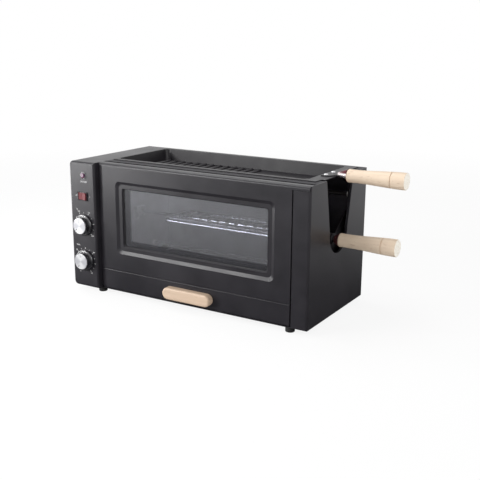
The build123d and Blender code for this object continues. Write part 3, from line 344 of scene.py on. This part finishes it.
paintLook = {
    "dark": (0.0135, 0.0125, 0.0155), "pale": (0.0195, 0.0180, 0.0220),
    "grain": 1500, "grainDepth": 0.00006, "edge": 0.0003,
    "gloss": 0.28, "rough": (0.30, 0.38),
    "frameGloss": 0.14, "frameRough": (0.44, 0.54),
}


def makePaint(name, look, gloss, rough, cloudScale=18):
    made, tree, surface = newFinish(name)
    where = objectPlaces(tree)
    cloud = noise(tree, where, cloudScale, 4)
    grain = noise(tree, where, look["grain"], 2, place=(-650, -300))
    tree.links.new(shades(tree, cloud, [(0.35, look["dark"]), (0.65, look["pale"])]),
                   surface.inputs["Base Color"])
    tree.links.new(spread(tree, cloud, *rough), surface.inputs["Roughness"])
    normal = relief(tree, grain, look["grainDepth"], 0.5, softEdges(tree, look["edge"]))
    tree.links.new(normal, surface.inputs["Normal"])
    surface.inputs["Specular IOR Level"].default_value = gloss
    return made


linerLook = {
    "dark": (0.50, 0.50, 0.51), "pale": (0.72, 0.73, 0.75), "rough": (0.30, 0.46),
    # painted shade: the rear liner turns near black towards the right, inside the case
    "paintedShade": (0.020, 0.018, 0.020), "paintedShadeFrom": -0.26, "paintedShadeTo": 0.07,   # places along X
}


def makeBrushed(name, dark, pale, rough, long=(1, 60, 60), fine=26, depth=0.00002, shadeAlongX=None):
    # rolled sheet: fine lines along one direction; the optional painted shade gives its colour and where
    # along X it sets in
    made, tree, surface = newFinish(name)
    lines = noise(tree, objectPlaces(tree, stretch=long), fine, 3, 0.7)
    cloud = noise(tree, objectPlaces(tree), 16, 3, place=(-650, -300))
    colour = shades(tree, cloud, [(0.3, dark), (0.7, pale)])
    # painted shade: the sheet gets darker along X
    if shadeAlongX:
        parts = addNode(tree, "ShaderNodeSeparateXYZ", (-650, 500))
        tree.links.new(objectPlaces(tree), parts.inputs[0])
        share = spread(tree, parts.outputs["X"], 0, 1, shadeAlongX[1], shadeAlongX[2], (-350, 500))
        mix = addNode(tree, "ShaderNodeMix", (100, 300), data_type="RGBA")
        tree.links.new(share, mix.inputs["Factor"])
        tree.links.new(colour, mix.inputs[6])
        mix.inputs[7].default_value = (*shadeAlongX[0], 1)
        colour = mix.outputs[2]
    tree.links.new(colour, surface.inputs["Base Color"])
    tree.links.new(spread(tree, lines, *rough), surface.inputs["Roughness"])
    tree.links.new(relief(tree, lines, depth, 0.6, softEdges(tree, 0.0003)), surface.inputs["Normal"])
    surface.inputs["Metallic"].default_value = 1.0
    return made


platedLook = {"dark": (0.48, 0.49, 0.50), "pale": (0.68, 0.69, 0.68), "rough": (0.30, 0.50), "spangle": 90}


def makePlated(name, look):
    # zinc crystals, each a little different in shade and gloss
    made, tree, surface = newFinish(name)
    where = objectPlaces(tree)
    crystals = addNode(tree, "ShaderNodeTexVoronoi", (-650, 100), {"Scale": look["spangle"]})
    tree.links.new(where, crystals.inputs["Vector"])
    shade = addNode(tree, "ShaderNodeSeparateColor", (-450, 100))
    tree.links.new(crystals.outputs["Color"], shade.inputs["Color"])
    tree.links.new(shades(tree, shade.outputs["Red"], [(0, look["dark"]), (1, look["pale"])]),
                   surface.inputs["Base Color"])
    tree.links.new(spread(tree, shade.outputs["Green"], *look["rough"], 0, 1), surface.inputs["Roughness"])
    tree.links.new(relief(tree, noise(tree, where, 700, 2, place=(-650, -300)), 0.00003, 0.5),
                   surface.inputs["Normal"])
    surface.inputs["Metallic"].default_value = 1.0
    return made


def makePlastic(name, dark, pale, rough, grain=2200, depth=0.00003, gloss=0.5, coat=0.0, edge=0.0003):
    # moulded plastic with its spark-eroded grain
    made, tree, surface = newFinish(name)
    where = objectPlaces(tree)
    cloud = noise(tree, where, 60, 3)
    tree.links.new(shades(tree, cloud, [(0.3, dark), (0.7, pale)]), surface.inputs["Base Color"])
    tree.links.new(spread(tree, cloud, *rough), surface.inputs["Roughness"])
    spark = noise(tree, where, grain, 2, place=(-650, -300))
    tree.links.new(relief(tree, spark, depth, 0.5, softEdges(tree, edge)), surface.inputs["Normal"])
    surface.inputs["Specular IOR Level"].default_value = gloss
    surface.inputs["Coat Weight"].default_value = coat
    surface.inputs["Coat Roughness"].default_value = 0.08
    return made


def makeSpeckled(name, dark, pale, speck, rough, speckScale=900, speckShare=0.70, gloss=0.5):
    # enamel or non-stick coating with small pale specks
    made, tree, surface = newFinish(name)
    where = objectPlaces(tree)
    cloud = noise(tree, where, 25, 4)
    specks = noise(tree, where, speckScale, 1, 0.4, (-650, -300))
    base = shades(tree, cloud, [(0.3, dark), (0.7, pale)])
    share = spread(tree, specks, 0, 1, speckShare, speckShare + 0.04, (-350, -300))
    mix = addNode(tree, "ShaderNodeMix", (100, 200), data_type="RGBA")
    tree.links.new(share, mix.inputs["Factor"])
    tree.links.new(base, mix.inputs[6])
    mix.inputs[7].default_value = (*speck, 1)
    tree.links.new(mix.outputs[2], surface.inputs["Base Color"])
    tree.links.new(spread(tree, cloud, *rough, place=(-350, -100)), surface.inputs["Roughness"])
    tree.links.new(relief(tree, specks, 0.00002, 0.4, softEdges(tree, 0.0004)), surface.inputs["Normal"])
    surface.inputs["Specular IOR Level"].default_value = gloss
    return made


glassLook = {
    # the grey tint and the strip widths give painted shade along the pane's left and bottom edges
    "tint": (0.84, 0.85, 0.91), "paintedShadeTint": (0.34, 0.34, 0.39),
    "paintedShadeLeft": 0.016, "paintedShadeBottom": 0.013, "paintedShadeFade": 0.0025,
    "rough": (0.02, 0.06), "smear": 7, "clear": 0.945, "bend": 1.6,
}


def makeGlass(look):
    # clear pane with painted shade: a grey strip along its left and bottom edges stands for the shade of the
    # dark frame behind it
    made, tree, surface = newFinish("windowGlass")
    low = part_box("window_glass")[0]
    parts = addNode(tree, "ShaderNodeSeparateXYZ", (-650, 500))
    tree.links.new(objectPlaces(tree), parts.inputs[0])
    inner = []
    # painted shade: darker within a strip along the left and bottom edges
    for axis, start in (("X", low.x + look["paintedShadeLeft"]), ("Z", low.z + look["paintedShadeBottom"])):
        inner.append(spread(tree, parts.outputs[axis], 0, 1, start, start + look["paintedShadeFade"],
                            (-350, 500 if axis == "X" else 300)))
    unshadedShare = addNode(tree, "ShaderNodeMath", (-100, 400), operation="MULTIPLY")
    tree.links.new(inner[0], unshadedShare.inputs[0])
    tree.links.new(inner[1], unshadedShare.inputs[1])
    tint = shades(tree, unshadedShare.outputs[0], [(0, look["paintedShadeTint"]), (1, look["tint"])], (100, 400))
    tree.links.new(tint, surface.inputs["Base Color"])
    smear = noise(tree, objectPlaces(tree, stretch=(1, 1, 2.5)), look["smear"], 3)
    tree.links.new(spread(tree, smear, *look["rough"]), surface.inputs["Roughness"])
    surface.inputs["Transmission Weight"].default_value = look["clear"]
    surface.inputs["IOR"].default_value = look["bend"]
    return made


woodLook = {
    "pale": (0.73, 0.59, 0.45), "mid": (0.64, 0.50, 0.375), "dark": (0.47, 0.33, 0.23),
    # end face colours: the cream of end grain, lifted near white as a painted highlight
    "endPaleAndLit": (0.97, 0.93, 0.84), "endDarkAndLit": (0.86, 0.79, 0.68),
    "ringScale": 95, "fleckScale": 60, "rough": (0.42, 0.58),
}

# the drawer's pull, a little browner than the handles
pullWoodLook = {
    **woodLook,
    "pale": (0.50, 0.375, 0.275), "mid": (0.42, 0.31, 0.225), "dark": (0.32, 0.22, 0.145),
}


def makeBeech(name, look, endAt=None):
    # grain runs along X: soft rings, with the short dark flecks of beech; the end face is cream, lifted near
    # white as a painted highlight
    made, tree, surface = newFinish(name)
    rings = noise(tree, objectPlaces(tree, stretch=(0.06, 1, 0.45)), look["ringScale"], 3, 0.6)
    fine, coarse = look["fleckScale"] * 22, look["fleckScale"] * 9
    pores = noise(tree, objectPlaces(tree, stretch=(0.10, 1, 1)), fine, 2, 0.6, (-650, -250))
    flecks = noise(tree, objectPlaces(tree, stretch=(0.16, 1, 0.7)), coarse, 1, 0.4, (-650, -500))
    base = shades(tree, rings, [(0.32, look["mid"]), (0.5, look["pale"]), (0.72, look["mid"])])
    share = spread(tree, flecks, 0, 0.6, 0.66, 0.74, (-350, -500))
    mix = addNode(tree, "ShaderNodeMix", (100, 200), data_type="RGBA")
    tree.links.new(share, mix.inputs["Factor"])
    tree.links.new(base, mix.inputs[6])
    mix.inputs[7].default_value = (*look["dark"], 1)
    colour = mix.outputs[2]
    # end face: cream end grain, partly a painted highlight
    if endAt is not None:
        parts = addNode(tree, "ShaderNodeSeparateXYZ", (-650, 500))
        tree.links.new(objectPlaces(tree), parts.inputs[0])
        share = spread(tree, parts.outputs["X"], 0, 1, endAt - 0.0012, endAt - 0.0004, (-350, 500))
        rays = noise(tree, objectPlaces(tree, stretch=(0.1, 1, 1)), 420, 2, 0.5, (-650, 700))
        face = shades(tree, rays, [(0.35, look["endDarkAndLit"]), (0.55, look["endPaleAndLit"])], (-350, 700))
        ends = addNode(tree, "ShaderNodeMix", (300, 300), data_type="RGBA")
        tree.links.new(share, ends.inputs["Factor"])
        tree.links.new(colour, ends.inputs[6])
        tree.links.new(face, ends.inputs[7])
        colour = ends.outputs[2]
    tree.links.new(colour, surface.inputs["Base Color"])
    tree.links.new(spread(tree, pores, *look["rough"]), surface.inputs["Roughness"])
    tree.links.new(relief(tree, pores, 0.00005, 0.5), surface.inputs["Normal"])
    return made


# near-black sheath colours: painted shade inside the case
heaterLook = {"shadedClean": (0.070, 0.066, 0.066), "shadedTempered": (0.050, 0.040, 0.034), "rough": (0.42, 0.56)}


def makeHeater(look):
    # steel sheath, kept near black as painted shade of the inside, straw-coloured in patches from the heat
    made, tree, surface = newFinish("heaterSheath")
    patches = noise(tree, objectPlaces(tree, stretch=(1, 0.3, 0.3)), 30, 3)
    fine = noise(tree, objectPlaces(tree, stretch=(0.2, 1, 1)), 900, 2, place=(-650, -300))
    tree.links.new(shades(tree, patches, [(0.35, look["shadedClean"]), (0.7, look["shadedTempered"])]),
                   surface.inputs["Base Color"])
    tree.links.new(spread(tree, fine, *look["rough"]), surface.inputs["Roughness"])
    tree.links.new(relief(tree, fine, 0.00002, 0.5), surface.inputs["Normal"])
    surface.inputs["Metallic"].default_value = 1.0
    return made


# the pale and dark of the cap's face are a painted reflection
capLook = {"pale": (0.50, 0.50, 0.51), "dark": (0.34, 0.34, 0.36), "rough": (0.42, 0.52),
           "ringPitch": 0.0004, "metal": 0.65}
# the ferrule's pale colour round its middle is a painted highlight
ferruleLook = {"bright": (0.80, 0.74, 0.74), "brown": (0.10, 0.022, 0.030), "highlightHeights": (0.0025, 0.0050),
               "rough": (0.18, 0.30)}


def makeSpunCap(name, centre, look):
    # lathe-turned face: rings round the knob's own axis, and a painted reflection: the fan of light such a
    # face shows, painted into its colour
    made, tree, surface = newFinish(name)
    where = objectPlaces(tree, centre=centre)
    parts = addNode(tree, "ShaderNodeSeparateXYZ", (-700, 300))
    tree.links.new(where, parts.inputs[0])
    flat = addNode(tree, "ShaderNodeCombineXYZ", (-550, 300))
    tree.links.new(parts.outputs["X"], flat.inputs["X"])
    tree.links.new(parts.outputs["Z"], flat.inputs["Z"])
    away = addNode(tree, "ShaderNodeVectorMath", (-400, 300), operation="LENGTH")
    tree.links.new(flat.outputs[0], away.inputs[0])
    turns = addNode(tree, "ShaderNodeMath", (-250, 300), operation="MULTIPLY")
    tree.links.new(away.outputs["Value"], turns.inputs[0])
    turns.inputs[1].default_value = 2 * math.pi / look["ringPitch"]
    rings = addNode(tree, "ShaderNodeMath", (-100, 300), operation="SINE")
    tree.links.new(turns.outputs[0], rings.inputs[0])
    around = addNode(tree, "ShaderNodeMath", (-400, 0), operation="ARCTAN2")
    tree.links.new(parts.outputs["Z"], around.inputs[0])
    tree.links.new(parts.outputs["X"], around.inputs[1])
    doubled = addNode(tree, "ShaderNodeMath", (-250, 0), operation="MULTIPLY")
    tree.links.new(around.outputs[0], doubled.inputs[0])
    doubled.inputs[1].default_value = 2.0
    highlightFan = addNode(tree, "ShaderNodeMath", (-100, 0), operation="COSINE")
    tree.links.new(doubled.outputs[0], highlightFan.inputs[0])
    # painted reflection: paler above and below the centre, darker to either side
    share = spread(tree, highlightFan.outputs[0], 0, 1, -1, 1, (0, 0))
    tree.links.new(shades(tree, share, [(0.2, look["pale"]), (0.9, look["dark"])], (200, 200)),
                   surface.inputs["Base Color"])
    tree.links.new(spread(tree, rings.outputs[0], *look["rough"], -1, 1, (200, -100)),
                   surface.inputs["Roughness"])
    tree.links.new(relief(tree, rings.outputs[0], 0.00001, 0.35, softEdges(tree, 0.0003)),
                   surface.inputs["Normal"])
    surface.inputs["Metallic"].default_value = look["metal"]
    return made


def makeFerrule(name, centreZ, look):
    # turned steel collar: dark brown above and below a painted highlight, a bright stripe round its middle
    made, tree, surface = newFinish(name)
    where = objectPlaces(tree, centre=(0, 0, centreZ))
    parts = addNode(tree, "ShaderNodeSeparateXYZ", (-700, 300))
    tree.links.new(where, parts.inputs[0])
    height = addNode(tree, "ShaderNodeMath", (-500, 300), operation="ABSOLUTE")
    tree.links.new(parts.outputs["Z"], height.inputs[0])
    # painted highlight: bright at mid-height, dark brown above and below
    share = spread(tree, height.outputs[0], 0, 1, *look["highlightHeights"])
    tree.links.new(shades(tree, share, [(0.1, look["bright"]), (0.9, look["brown"])]),
                   surface.inputs["Base Color"])
    turned = noise(tree, objectPlaces(tree, stretch=(60, 1, 1)), 30, 2, place=(-650, -300))
    tree.links.new(spread(tree, turned, *look["rough"]), surface.inputs["Roughness"])
    tree.links.new(relief(tree, turned, 0.00001, 0.4, softEdges(tree, 0.0003)), surface.inputs["Normal"])
    surface.inputs["Metallic"].default_value = 1.0
    return made


lensLook = {
    "dark": (0.035, 0.010, 0.030), "pale": (0.110, 0.036, 0.090), "facets": 1400,
    "rough": (0.10, 0.22), "coat": 0.2, "coatRough": 0.2, "inner": 0.2, "innerDepth": 0.002,
}


def makeLens(name, look):
    # dyed clear plastic, fine facets inside
    made, tree, surface = newFinish(name)
    where = objectPlaces(tree)
    cells = addNode(tree, "ShaderNodeTexVoronoi", (-650, 100), {"Scale": look["facets"]})
    tree.links.new(where, cells.inputs["Vector"])
    tree.links.new(shades(tree, cells.outputs["Distance"], [(0.1, look["dark"]), (0.7, look["pale"])]),
                   surface.inputs["Base Color"])
    tree.links.new(spread(tree, cells.outputs["Distance"], *look["rough"], 0, 0.8),
                   surface.inputs["Roughness"])
    surface.inputs["Coat Weight"].default_value = look["coat"]
    surface.inputs["Coat Roughness"].default_value = look["coatRough"]
    surface.inputs["Subsurface Weight"].default_value = look["inner"]
    surface.inputs["Subsurface Scale"].default_value = look["innerDepth"]
    return made


inkLook = {"thin": (0.40, 0.40, 0.40), "full": (0.56, 0.56, 0.56), "grain": 1800, "rough": (0.45, 0.6)}


def makeInk(name, look):
    made, tree, surface = newFinish(name)
    cover = noise(tree, objectPlaces(tree), look["grain"], 2)
    tree.links.new(shades(tree, cover, [(0.3, look["thin"]), (0.6, look["full"])]),
                   surface.inputs["Base Color"])
    tree.links.new(spread(tree, cover, *look["rough"]), surface.inputs["Roughness"])
    return made


sheetsLook = {
    "brightSheet": {"dark": linerLook["dark"], "pale": linerLook["pale"], "rough": linerLook["rough"]},
    "rearSheet": {"dark": linerLook["dark"], "pale": linerLook["pale"], "rough": linerLook["rough"],
                  # the rear liner carries painted shade towards the right
                  "shadeAlongX": (linerLook["paintedShade"], linerLook["paintedShadeFrom"], linerLook["paintedShadeTo"])},
    # near-black sheet as painted shade: the liner's right and front plates and the shaft bush lie in shade
    "dullSheet": {"dark": (0.040, 0.037, 0.040), "pale": (0.062, 0.058, 0.062), "rough": (0.42, 0.56)},
    "brightBracket": {"dark": (0.55, 0.55, 0.56), "pale": (0.80, 0.80, 0.81), "rough": (0.16, 0.28),
                      "long": (40, 1, 40), "fine": 30},
    "chromeWire": {"dark": (0.80, 0.81, 0.84), "pale": (0.92, 0.93, 0.95), "rough": (0.08, 0.18),
                   "long": (30, 30, 30), "fine": 20},
    # the lid's wire is the basket's chrome made darker: painted shade inside the case
    "lidWire": {"dark": (0.22, 0.22, 0.23), "pale": (0.34, 0.34, 0.36), "rough": (0.22, 0.34),
                "long": (30, 30, 30), "fine": 20},
}

coatingsLook = {
    "trayEnamel": {"dark": (0.020, 0.020, 0.022), "pale": (0.028, 0.028, 0.030),
                   "speck": (0.20, 0.20, 0.21), "rough": (0.16, 0.26)},
    "panCoating": {"dark": (0.010, 0.009, 0.011), "pale": (0.016, 0.014, 0.017), "speck": (0.05, 0.05, 0.05),
                   "rough": (0.34, 0.46), "speckScale": 1300, "speckShare": 0.72, "gloss": 0.26},
}

plasticsLook = {
    "sealSilicone": {"dark": (0.050, 0.048, 0.046), "pale": (0.065, 0.062, 0.060), "rough": (0.55, 0.68),
                     "grain": 1200},
    "footRubber": {"dark": (0.014, 0.014, 0.014), "pale": (0.022, 0.022, 0.022), "rough": (0.66, 0.82),
                   "grain": 1500, "depth": 0.00005, "gloss": 0.35},
    "blackPlastic": {"dark": (0.010, 0.0095, 0.012), "pale": (0.015, 0.0145, 0.018), "rough": (0.20, 0.30)},
    "knobPlastic": {"dark": (0.010, 0.0095, 0.012), "pale": (0.015, 0.0145, 0.018), "rough": (0.16, 0.24),
                    "gloss": 0.7, "coat": 1.0, "edge": 0.0006},
    "blockPlastic": {"dark": (0.62, 0.60, 0.55), "pale": (0.72, 0.70, 0.66), "rough": (0.35, 0.50)},
    "redPlastic": {"dark": (0.090, 0.014, 0.018), "pale": (0.125, 0.019, 0.024), "rough": (0.48, 0.58),
                   "grain": 2600, "depth": 0.00002, "gloss": 0.25},
    "brownPlastic": {"dark": (0.040, 0.010, 0.012), "pale": (0.070, 0.018, 0.019), "rough": (0.24, 0.34)},
    "whiteCeramic": {"dark": (0.66, 0.64, 0.60), "pale": (0.78, 0.77, 0.74), "rough": (0.22, 0.40),
                     "grain": 700, "depth": 0.00004},
}

wearers = {
    "blackPaint": ("control_housing", "front_panel", "right_cover", "rear_panel", "base_plate",
                   "drawer_front"),
    "framePaint": ("top_frame",),
    "brightSheet": ("liner_left",),
    "rearSheet": ("liner_rear",),
    # these inner pieces are kept near black as painted shade
    "dullSheet": ("liner_right", "liner_front", "shaft_bush"),
    "platedSteel": ("glass_clips", "foot_screws", "drawer_runners", "shaft_cradle", "pull_screws",
                    "rear_screws", "thermostat_shaft", "timer_shaft"),
    "trayEnamel": ("drawer_tray", "tray_sides"),
    "panCoating": ("grill_pan", "pan_bracket"),
    "windowGlass": ("window_glass",),
    "sealSilicone": ("window_seal",),
    "footRubber": ("feet", "cord_bushing"),
    "blackPlastic": ("thermostat_body", "timer_body", "switch_body", "lamp_body"),
    "knobPlastic": ("thermostat_knob", "timer_knob"),
    "blockPlastic": ("terminal_block",),
    "redPlastic": ("rocker_key",),
    "lampPlastic": ("lamp_lens",),
    "brownPlastic": ("basket_ferrule",),
    "panFerrule": ("pan_ferrule",),
    "whiteCeramic": ("heater_bushings",),
    "heaterSheath": ("upper_heaters", "lower_heater"),
    "brightBracket": ("pan_rivets",),
    "chromeWire": ("wire_basket",),
    "lidWire": ("basket_lid",),
    "drawerBeech": ("drawer_pull",),
    "panBeech": ("pan_handle",),
    "handleBeech": ("basket_handle",),
}

finishes = {
    "blackPaint": makePaint("blackPaint", paintLook, paintLook["gloss"], paintLook["rough"]),
    "framePaint": makePaint("framePaint", paintLook, paintLook["frameGloss"], paintLook["frameRough"]),
    "platedSteel": makePlated("platedSteel", platedLook),
    "windowGlass": makeGlass(glassLook),
    "heaterSheath": makeHeater(heaterLook),
    "panFerrule": makeFerrule("panFerrule", middle("pan_ferrule").z, ferruleLook),
    "drawerBeech": makeBeech("drawerBeech", pullWoodLook),
    "handleBeech": makeBeech("handleBeech", woodLook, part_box("basket_handle")[1].x),
    "panBeech": makeBeech("panBeech", woodLook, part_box("pan_handle")[1].x),
    "lampPlastic": makeLens("lampPlastic", lensLook),
    "panelInk": makeInk("panelInk", inkLook),
}
for maker, rows in ((makeBrushed, sheetsLook), (makeSpeckled, coatingsLook), (makePlastic, plasticsLook)):
    for name, look in rows.items():
        finishes[name] = maker(name, **look)
for name, pieces in wearers.items():
    dress(finishes[name], *pieces)
for capName in ("thermostat_knob_cap", "timer_knob_cap"):
    dress(makeSpunCap(capName.replace("_knob_cap", "CapFace"), middle(capName), capLook), capName)
print("finishes ready:", len(bpy.data.materials))


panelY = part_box("control_housing")[0].y
knobX = middle("thermostat_knob").x

printLook = {
    "thickness": 0.00008,
    "tickInner": 0.0201, "tickLong": 0.0028, "tickShort": 0.0018, "tickWidth": 0.0009,
    "numberSize": 0.0036, "wordSize": 0.0040, "wordDrop": 0.0112,
    "markGap": 0.0045, "unitLeft": 0.0150, "unitRise": 0.0070,
    "shortShare": 0.8, "numberGap": 0.62,    # width of a short tick, and room for a number, as shares
}

pointerLook = {"length": 0.0042, "width": 0.0010, "thickness": 0.00008, "reach": 0.0098}

thermostatSweep, timerSweep = 270, 300


def modelTick(length, width, thickness):
    # a bar with rounded ends, lying flat, along Y
    deselectAll()
    bpy.ops.mesh.primitive_plane_add(size=1)
    tick = bpy.context.object
    bpy.ops.object.mode_set(mode="EDIT")
    bpy.ops.mesh.select_all(action="SELECT")
    bpy.ops.transform.resize(value=(width, length, 1))
    bpy.ops.mesh.bevel(offset=width * 0.45, segments=3, affect="VERTICES")
    bpy.ops.mesh.select_all(action="SELECT")
    bpy.ops.mesh.extrude_region_move(TRANSFORM_OT_translate={"value": (0, 0, thickness)})
    bpy.ops.mesh.select_all(action="SELECT")
    bpy.ops.mesh.normals_make_consistent(inside=False)
    bpy.ops.object.mode_set(mode="OBJECT")
    return tick


def modelWord(text, size, thickness):
    deselectAll()
    bpy.ops.object.text_add()
    word = bpy.context.object
    word.data.body = text
    word.data.size = size
    word.data.align_x, word.data.align_y = "CENTER", "CENTER"
    word.data.extrude = thickness / 2
    word.data.resolution_u = 3
    bpy.ops.object.convert(target="MESH")
    return bpy.context.object


def onPanel(piece, x, z, turn=0.0, y=panelY):
    return settle(piece, (x, y, z), (math.pi / 2, turn, 0))


def makePointer(name, knob, body, sweep, look):
    # a line on the cap that shows the setting; at rest it points at the scale's zero
    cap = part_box(knob + "_cap")[0]
    angle, centre = math.radians(-sweep / 2), middle(knob)
    line = modelTick(look["length"], look["width"], look["thickness"])
    line.name = name
    reach = look["reach"]
    onPanel(line, centre.x + reach * math.sin(angle), centre.z + reach * math.cos(angle), angle, cap.y)
    return finishPiece(line, body, finishes["blackPlastic"], None)


def makeScale(name, knob, sweep, longSteps, numbers):
    centre = (middle(knob).x, middle(knob).z)
    look = printLook
    parts = []
    longTick = modelTick(look["tickLong"], look["tickWidth"], look["thickness"])
    shortTick = modelTick(look["tickShort"], look["tickWidth"] * look["shortShare"], look["thickness"])
    steps = longSteps * 2
    for i in range(steps + 1):
        angle = math.radians(-sweep / 2 + sweep * i / steps)
        isLong = i % 2 == 0
        length = look["tickLong"] if isLong else look["tickShort"]
        reach = look["tickInner"] + length / 2
        tick = copyOf(longTick if isLong else shortTick, "tick")
        parts.append(onPanel(tick, centre[0] + reach * math.sin(angle), centre[1] + reach * math.cos(angle),
                             angle))
    for piece in (longTick, shortTick):
        bpy.data.objects.remove(piece)
    for text, share in numbers:
        angle = math.radians(-sweep / 2 + sweep * share)
        reach = look["tickInner"] + look["tickLong"] + look["numberSize"] * look["numberGap"]
        word = modelWord(text, look["numberSize"], look["thickness"])
        parts.append(onPanel(word, centre[0] + reach * math.sin(angle), centre[1] + reach * math.cos(angle)))
    scale = joined(parts, name)
    return finishPiece(scale, "case", finishes["panelInk"], None)


makeScale("thermostat_scale", "thermostat_knob", thermostatSweep, 5,
          [("0", 0.0), ("100", 0.4), ("150", 0.6), ("250", 1.0)])
makeScale("timer_scale", "timer_knob", timerSweep, 6, [("0", 0.0), ("20", 1 / 3), ("40", 2 / 3), ("60", 1.0)])
makePointer("thermostat_pointer", "thermostat_knob", "thermostat_control", thermostatSweep, pointerLook)
makePointer("timer_pointer", "timer_knob", "timer_control", timerSweep, pointerLook)


def makeMarks():
    look = printLook
    switchLow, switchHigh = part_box("switch_body")
    lamp, switchZ = middle("lamp_lens"), middle("switch_body").z
    thermostatHigh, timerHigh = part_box("thermostat_knob")[1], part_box("timer_knob")[1]
    words = [
        ("ON/OFF", lamp.x, lamp.z - look["wordDrop"]),
        ("O", switchLow.x - look["markGap"], switchZ),
        ("I", switchHigh.x + look["markGap"], switchZ),
        ("°C", knobX - look["unitLeft"], thermostatHigh.z + look["unitRise"]),
        ("MIN", knobX - look["unitLeft"], timerHigh.z + look["unitRise"]),
    ]
    parts = [onPanel(modelWord(word, look["wordSize"], look["thickness"]), x, z) for word, x, z in words]
    return finishPiece(joined(parts, "panel_marks"), "case", finishes["panelInk"], None)


makeMarks()
print("scales and marks ready")


screwLook = {"headRadius": 0.0030, "headHeight": 0.0014, "shank": 0.0011, "slotWidth": 0.0008,
             "slotLength": 0.0034, "slotDepth": 0.0008, "verticesRound": 28,
             "roundShare": 0.45, "shankInset": 0.52}


def modelScrew(look):
    # head up along Z, its seat at zero
    deselectAll()
    bpy.ops.mesh.primitive_cylinder_add(vertices=look["verticesRound"], radius=look["headRadius"],
                                        depth=look["headHeight"], location=(0, 0, look["headHeight"] / 2))
    screw = bpy.context.object
    pick(screw)
    selectFaces(screw, lambda face: face.normal.z > 0.9)
    bpy.ops.mesh.bevel(offset=look["headHeight"] * look["roundShare"], segments=4, affect="EDGES")
    selectFaces(screw, lambda face: face.normal.z < -0.9)
    bpy.ops.mesh.inset(thickness=look["headRadius"] * look["shankInset"])
    bpy.ops.mesh.extrude_region_move(TRANSFORM_OT_translate={"value": (0, 0, -look["shank"])})
    bpy.ops.object.mode_set(mode="OBJECT")
    for turn in (0, math.pi / 2):
        deselectAll()
        bpy.ops.mesh.primitive_cube_add(size=1, location=(0, 0, look["headHeight"]), rotation=(0, 0, turn))
        cutter = bpy.context.object
        cutter.scale = (look["slotLength"], look["slotWidth"], look["slotDepth"] * 2)
        pick(cutter)
        bpy.ops.object.transform_apply(location=True, rotation=True, scale=True)
        applyModifier(screw, "BOOLEAN", object=cutter, operation="DIFFERENCE", solver="EXACT")
        bpy.data.objects.remove(cutter)
    pick(screw)
    bpy.ops.object.mode_set(mode="EDIT")
    bpy.ops.mesh.select_all(action="SELECT")
    bpy.ops.mesh.remove_doubles(threshold=0.000005)
    bpy.ops.object.mode_set(mode="OBJECT")
    return screw


def makeRearScrews():
    random.seed(7)
    low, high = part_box("rear_screws")
    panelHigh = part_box("rear_panel")[1]
    inset = screwLook["headRadius"]
    model = modelScrew(screwLook)
    copies = []
    for x in (low.x + inset, (low.x + high.x) / 2, high.x - inset):
        for z in (low.z + inset, high.z - inset):
            screw = copyOf(model, "screw")
            settle(screw, turn=(0, 0, random.uniform(0, math.pi / 2)))
            copies.append(settle(screw, (x, panelHigh.y, z), (-math.pi / 2, 0, 0)))
    bpy.data.objects.remove(model)
    screws = joined(copies, "rear_cross_screws")
    finishPiece(screws, "case", finishes["platedSteel"])
    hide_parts("rear_screws")


makeRearScrews()
print("rear screws ready")
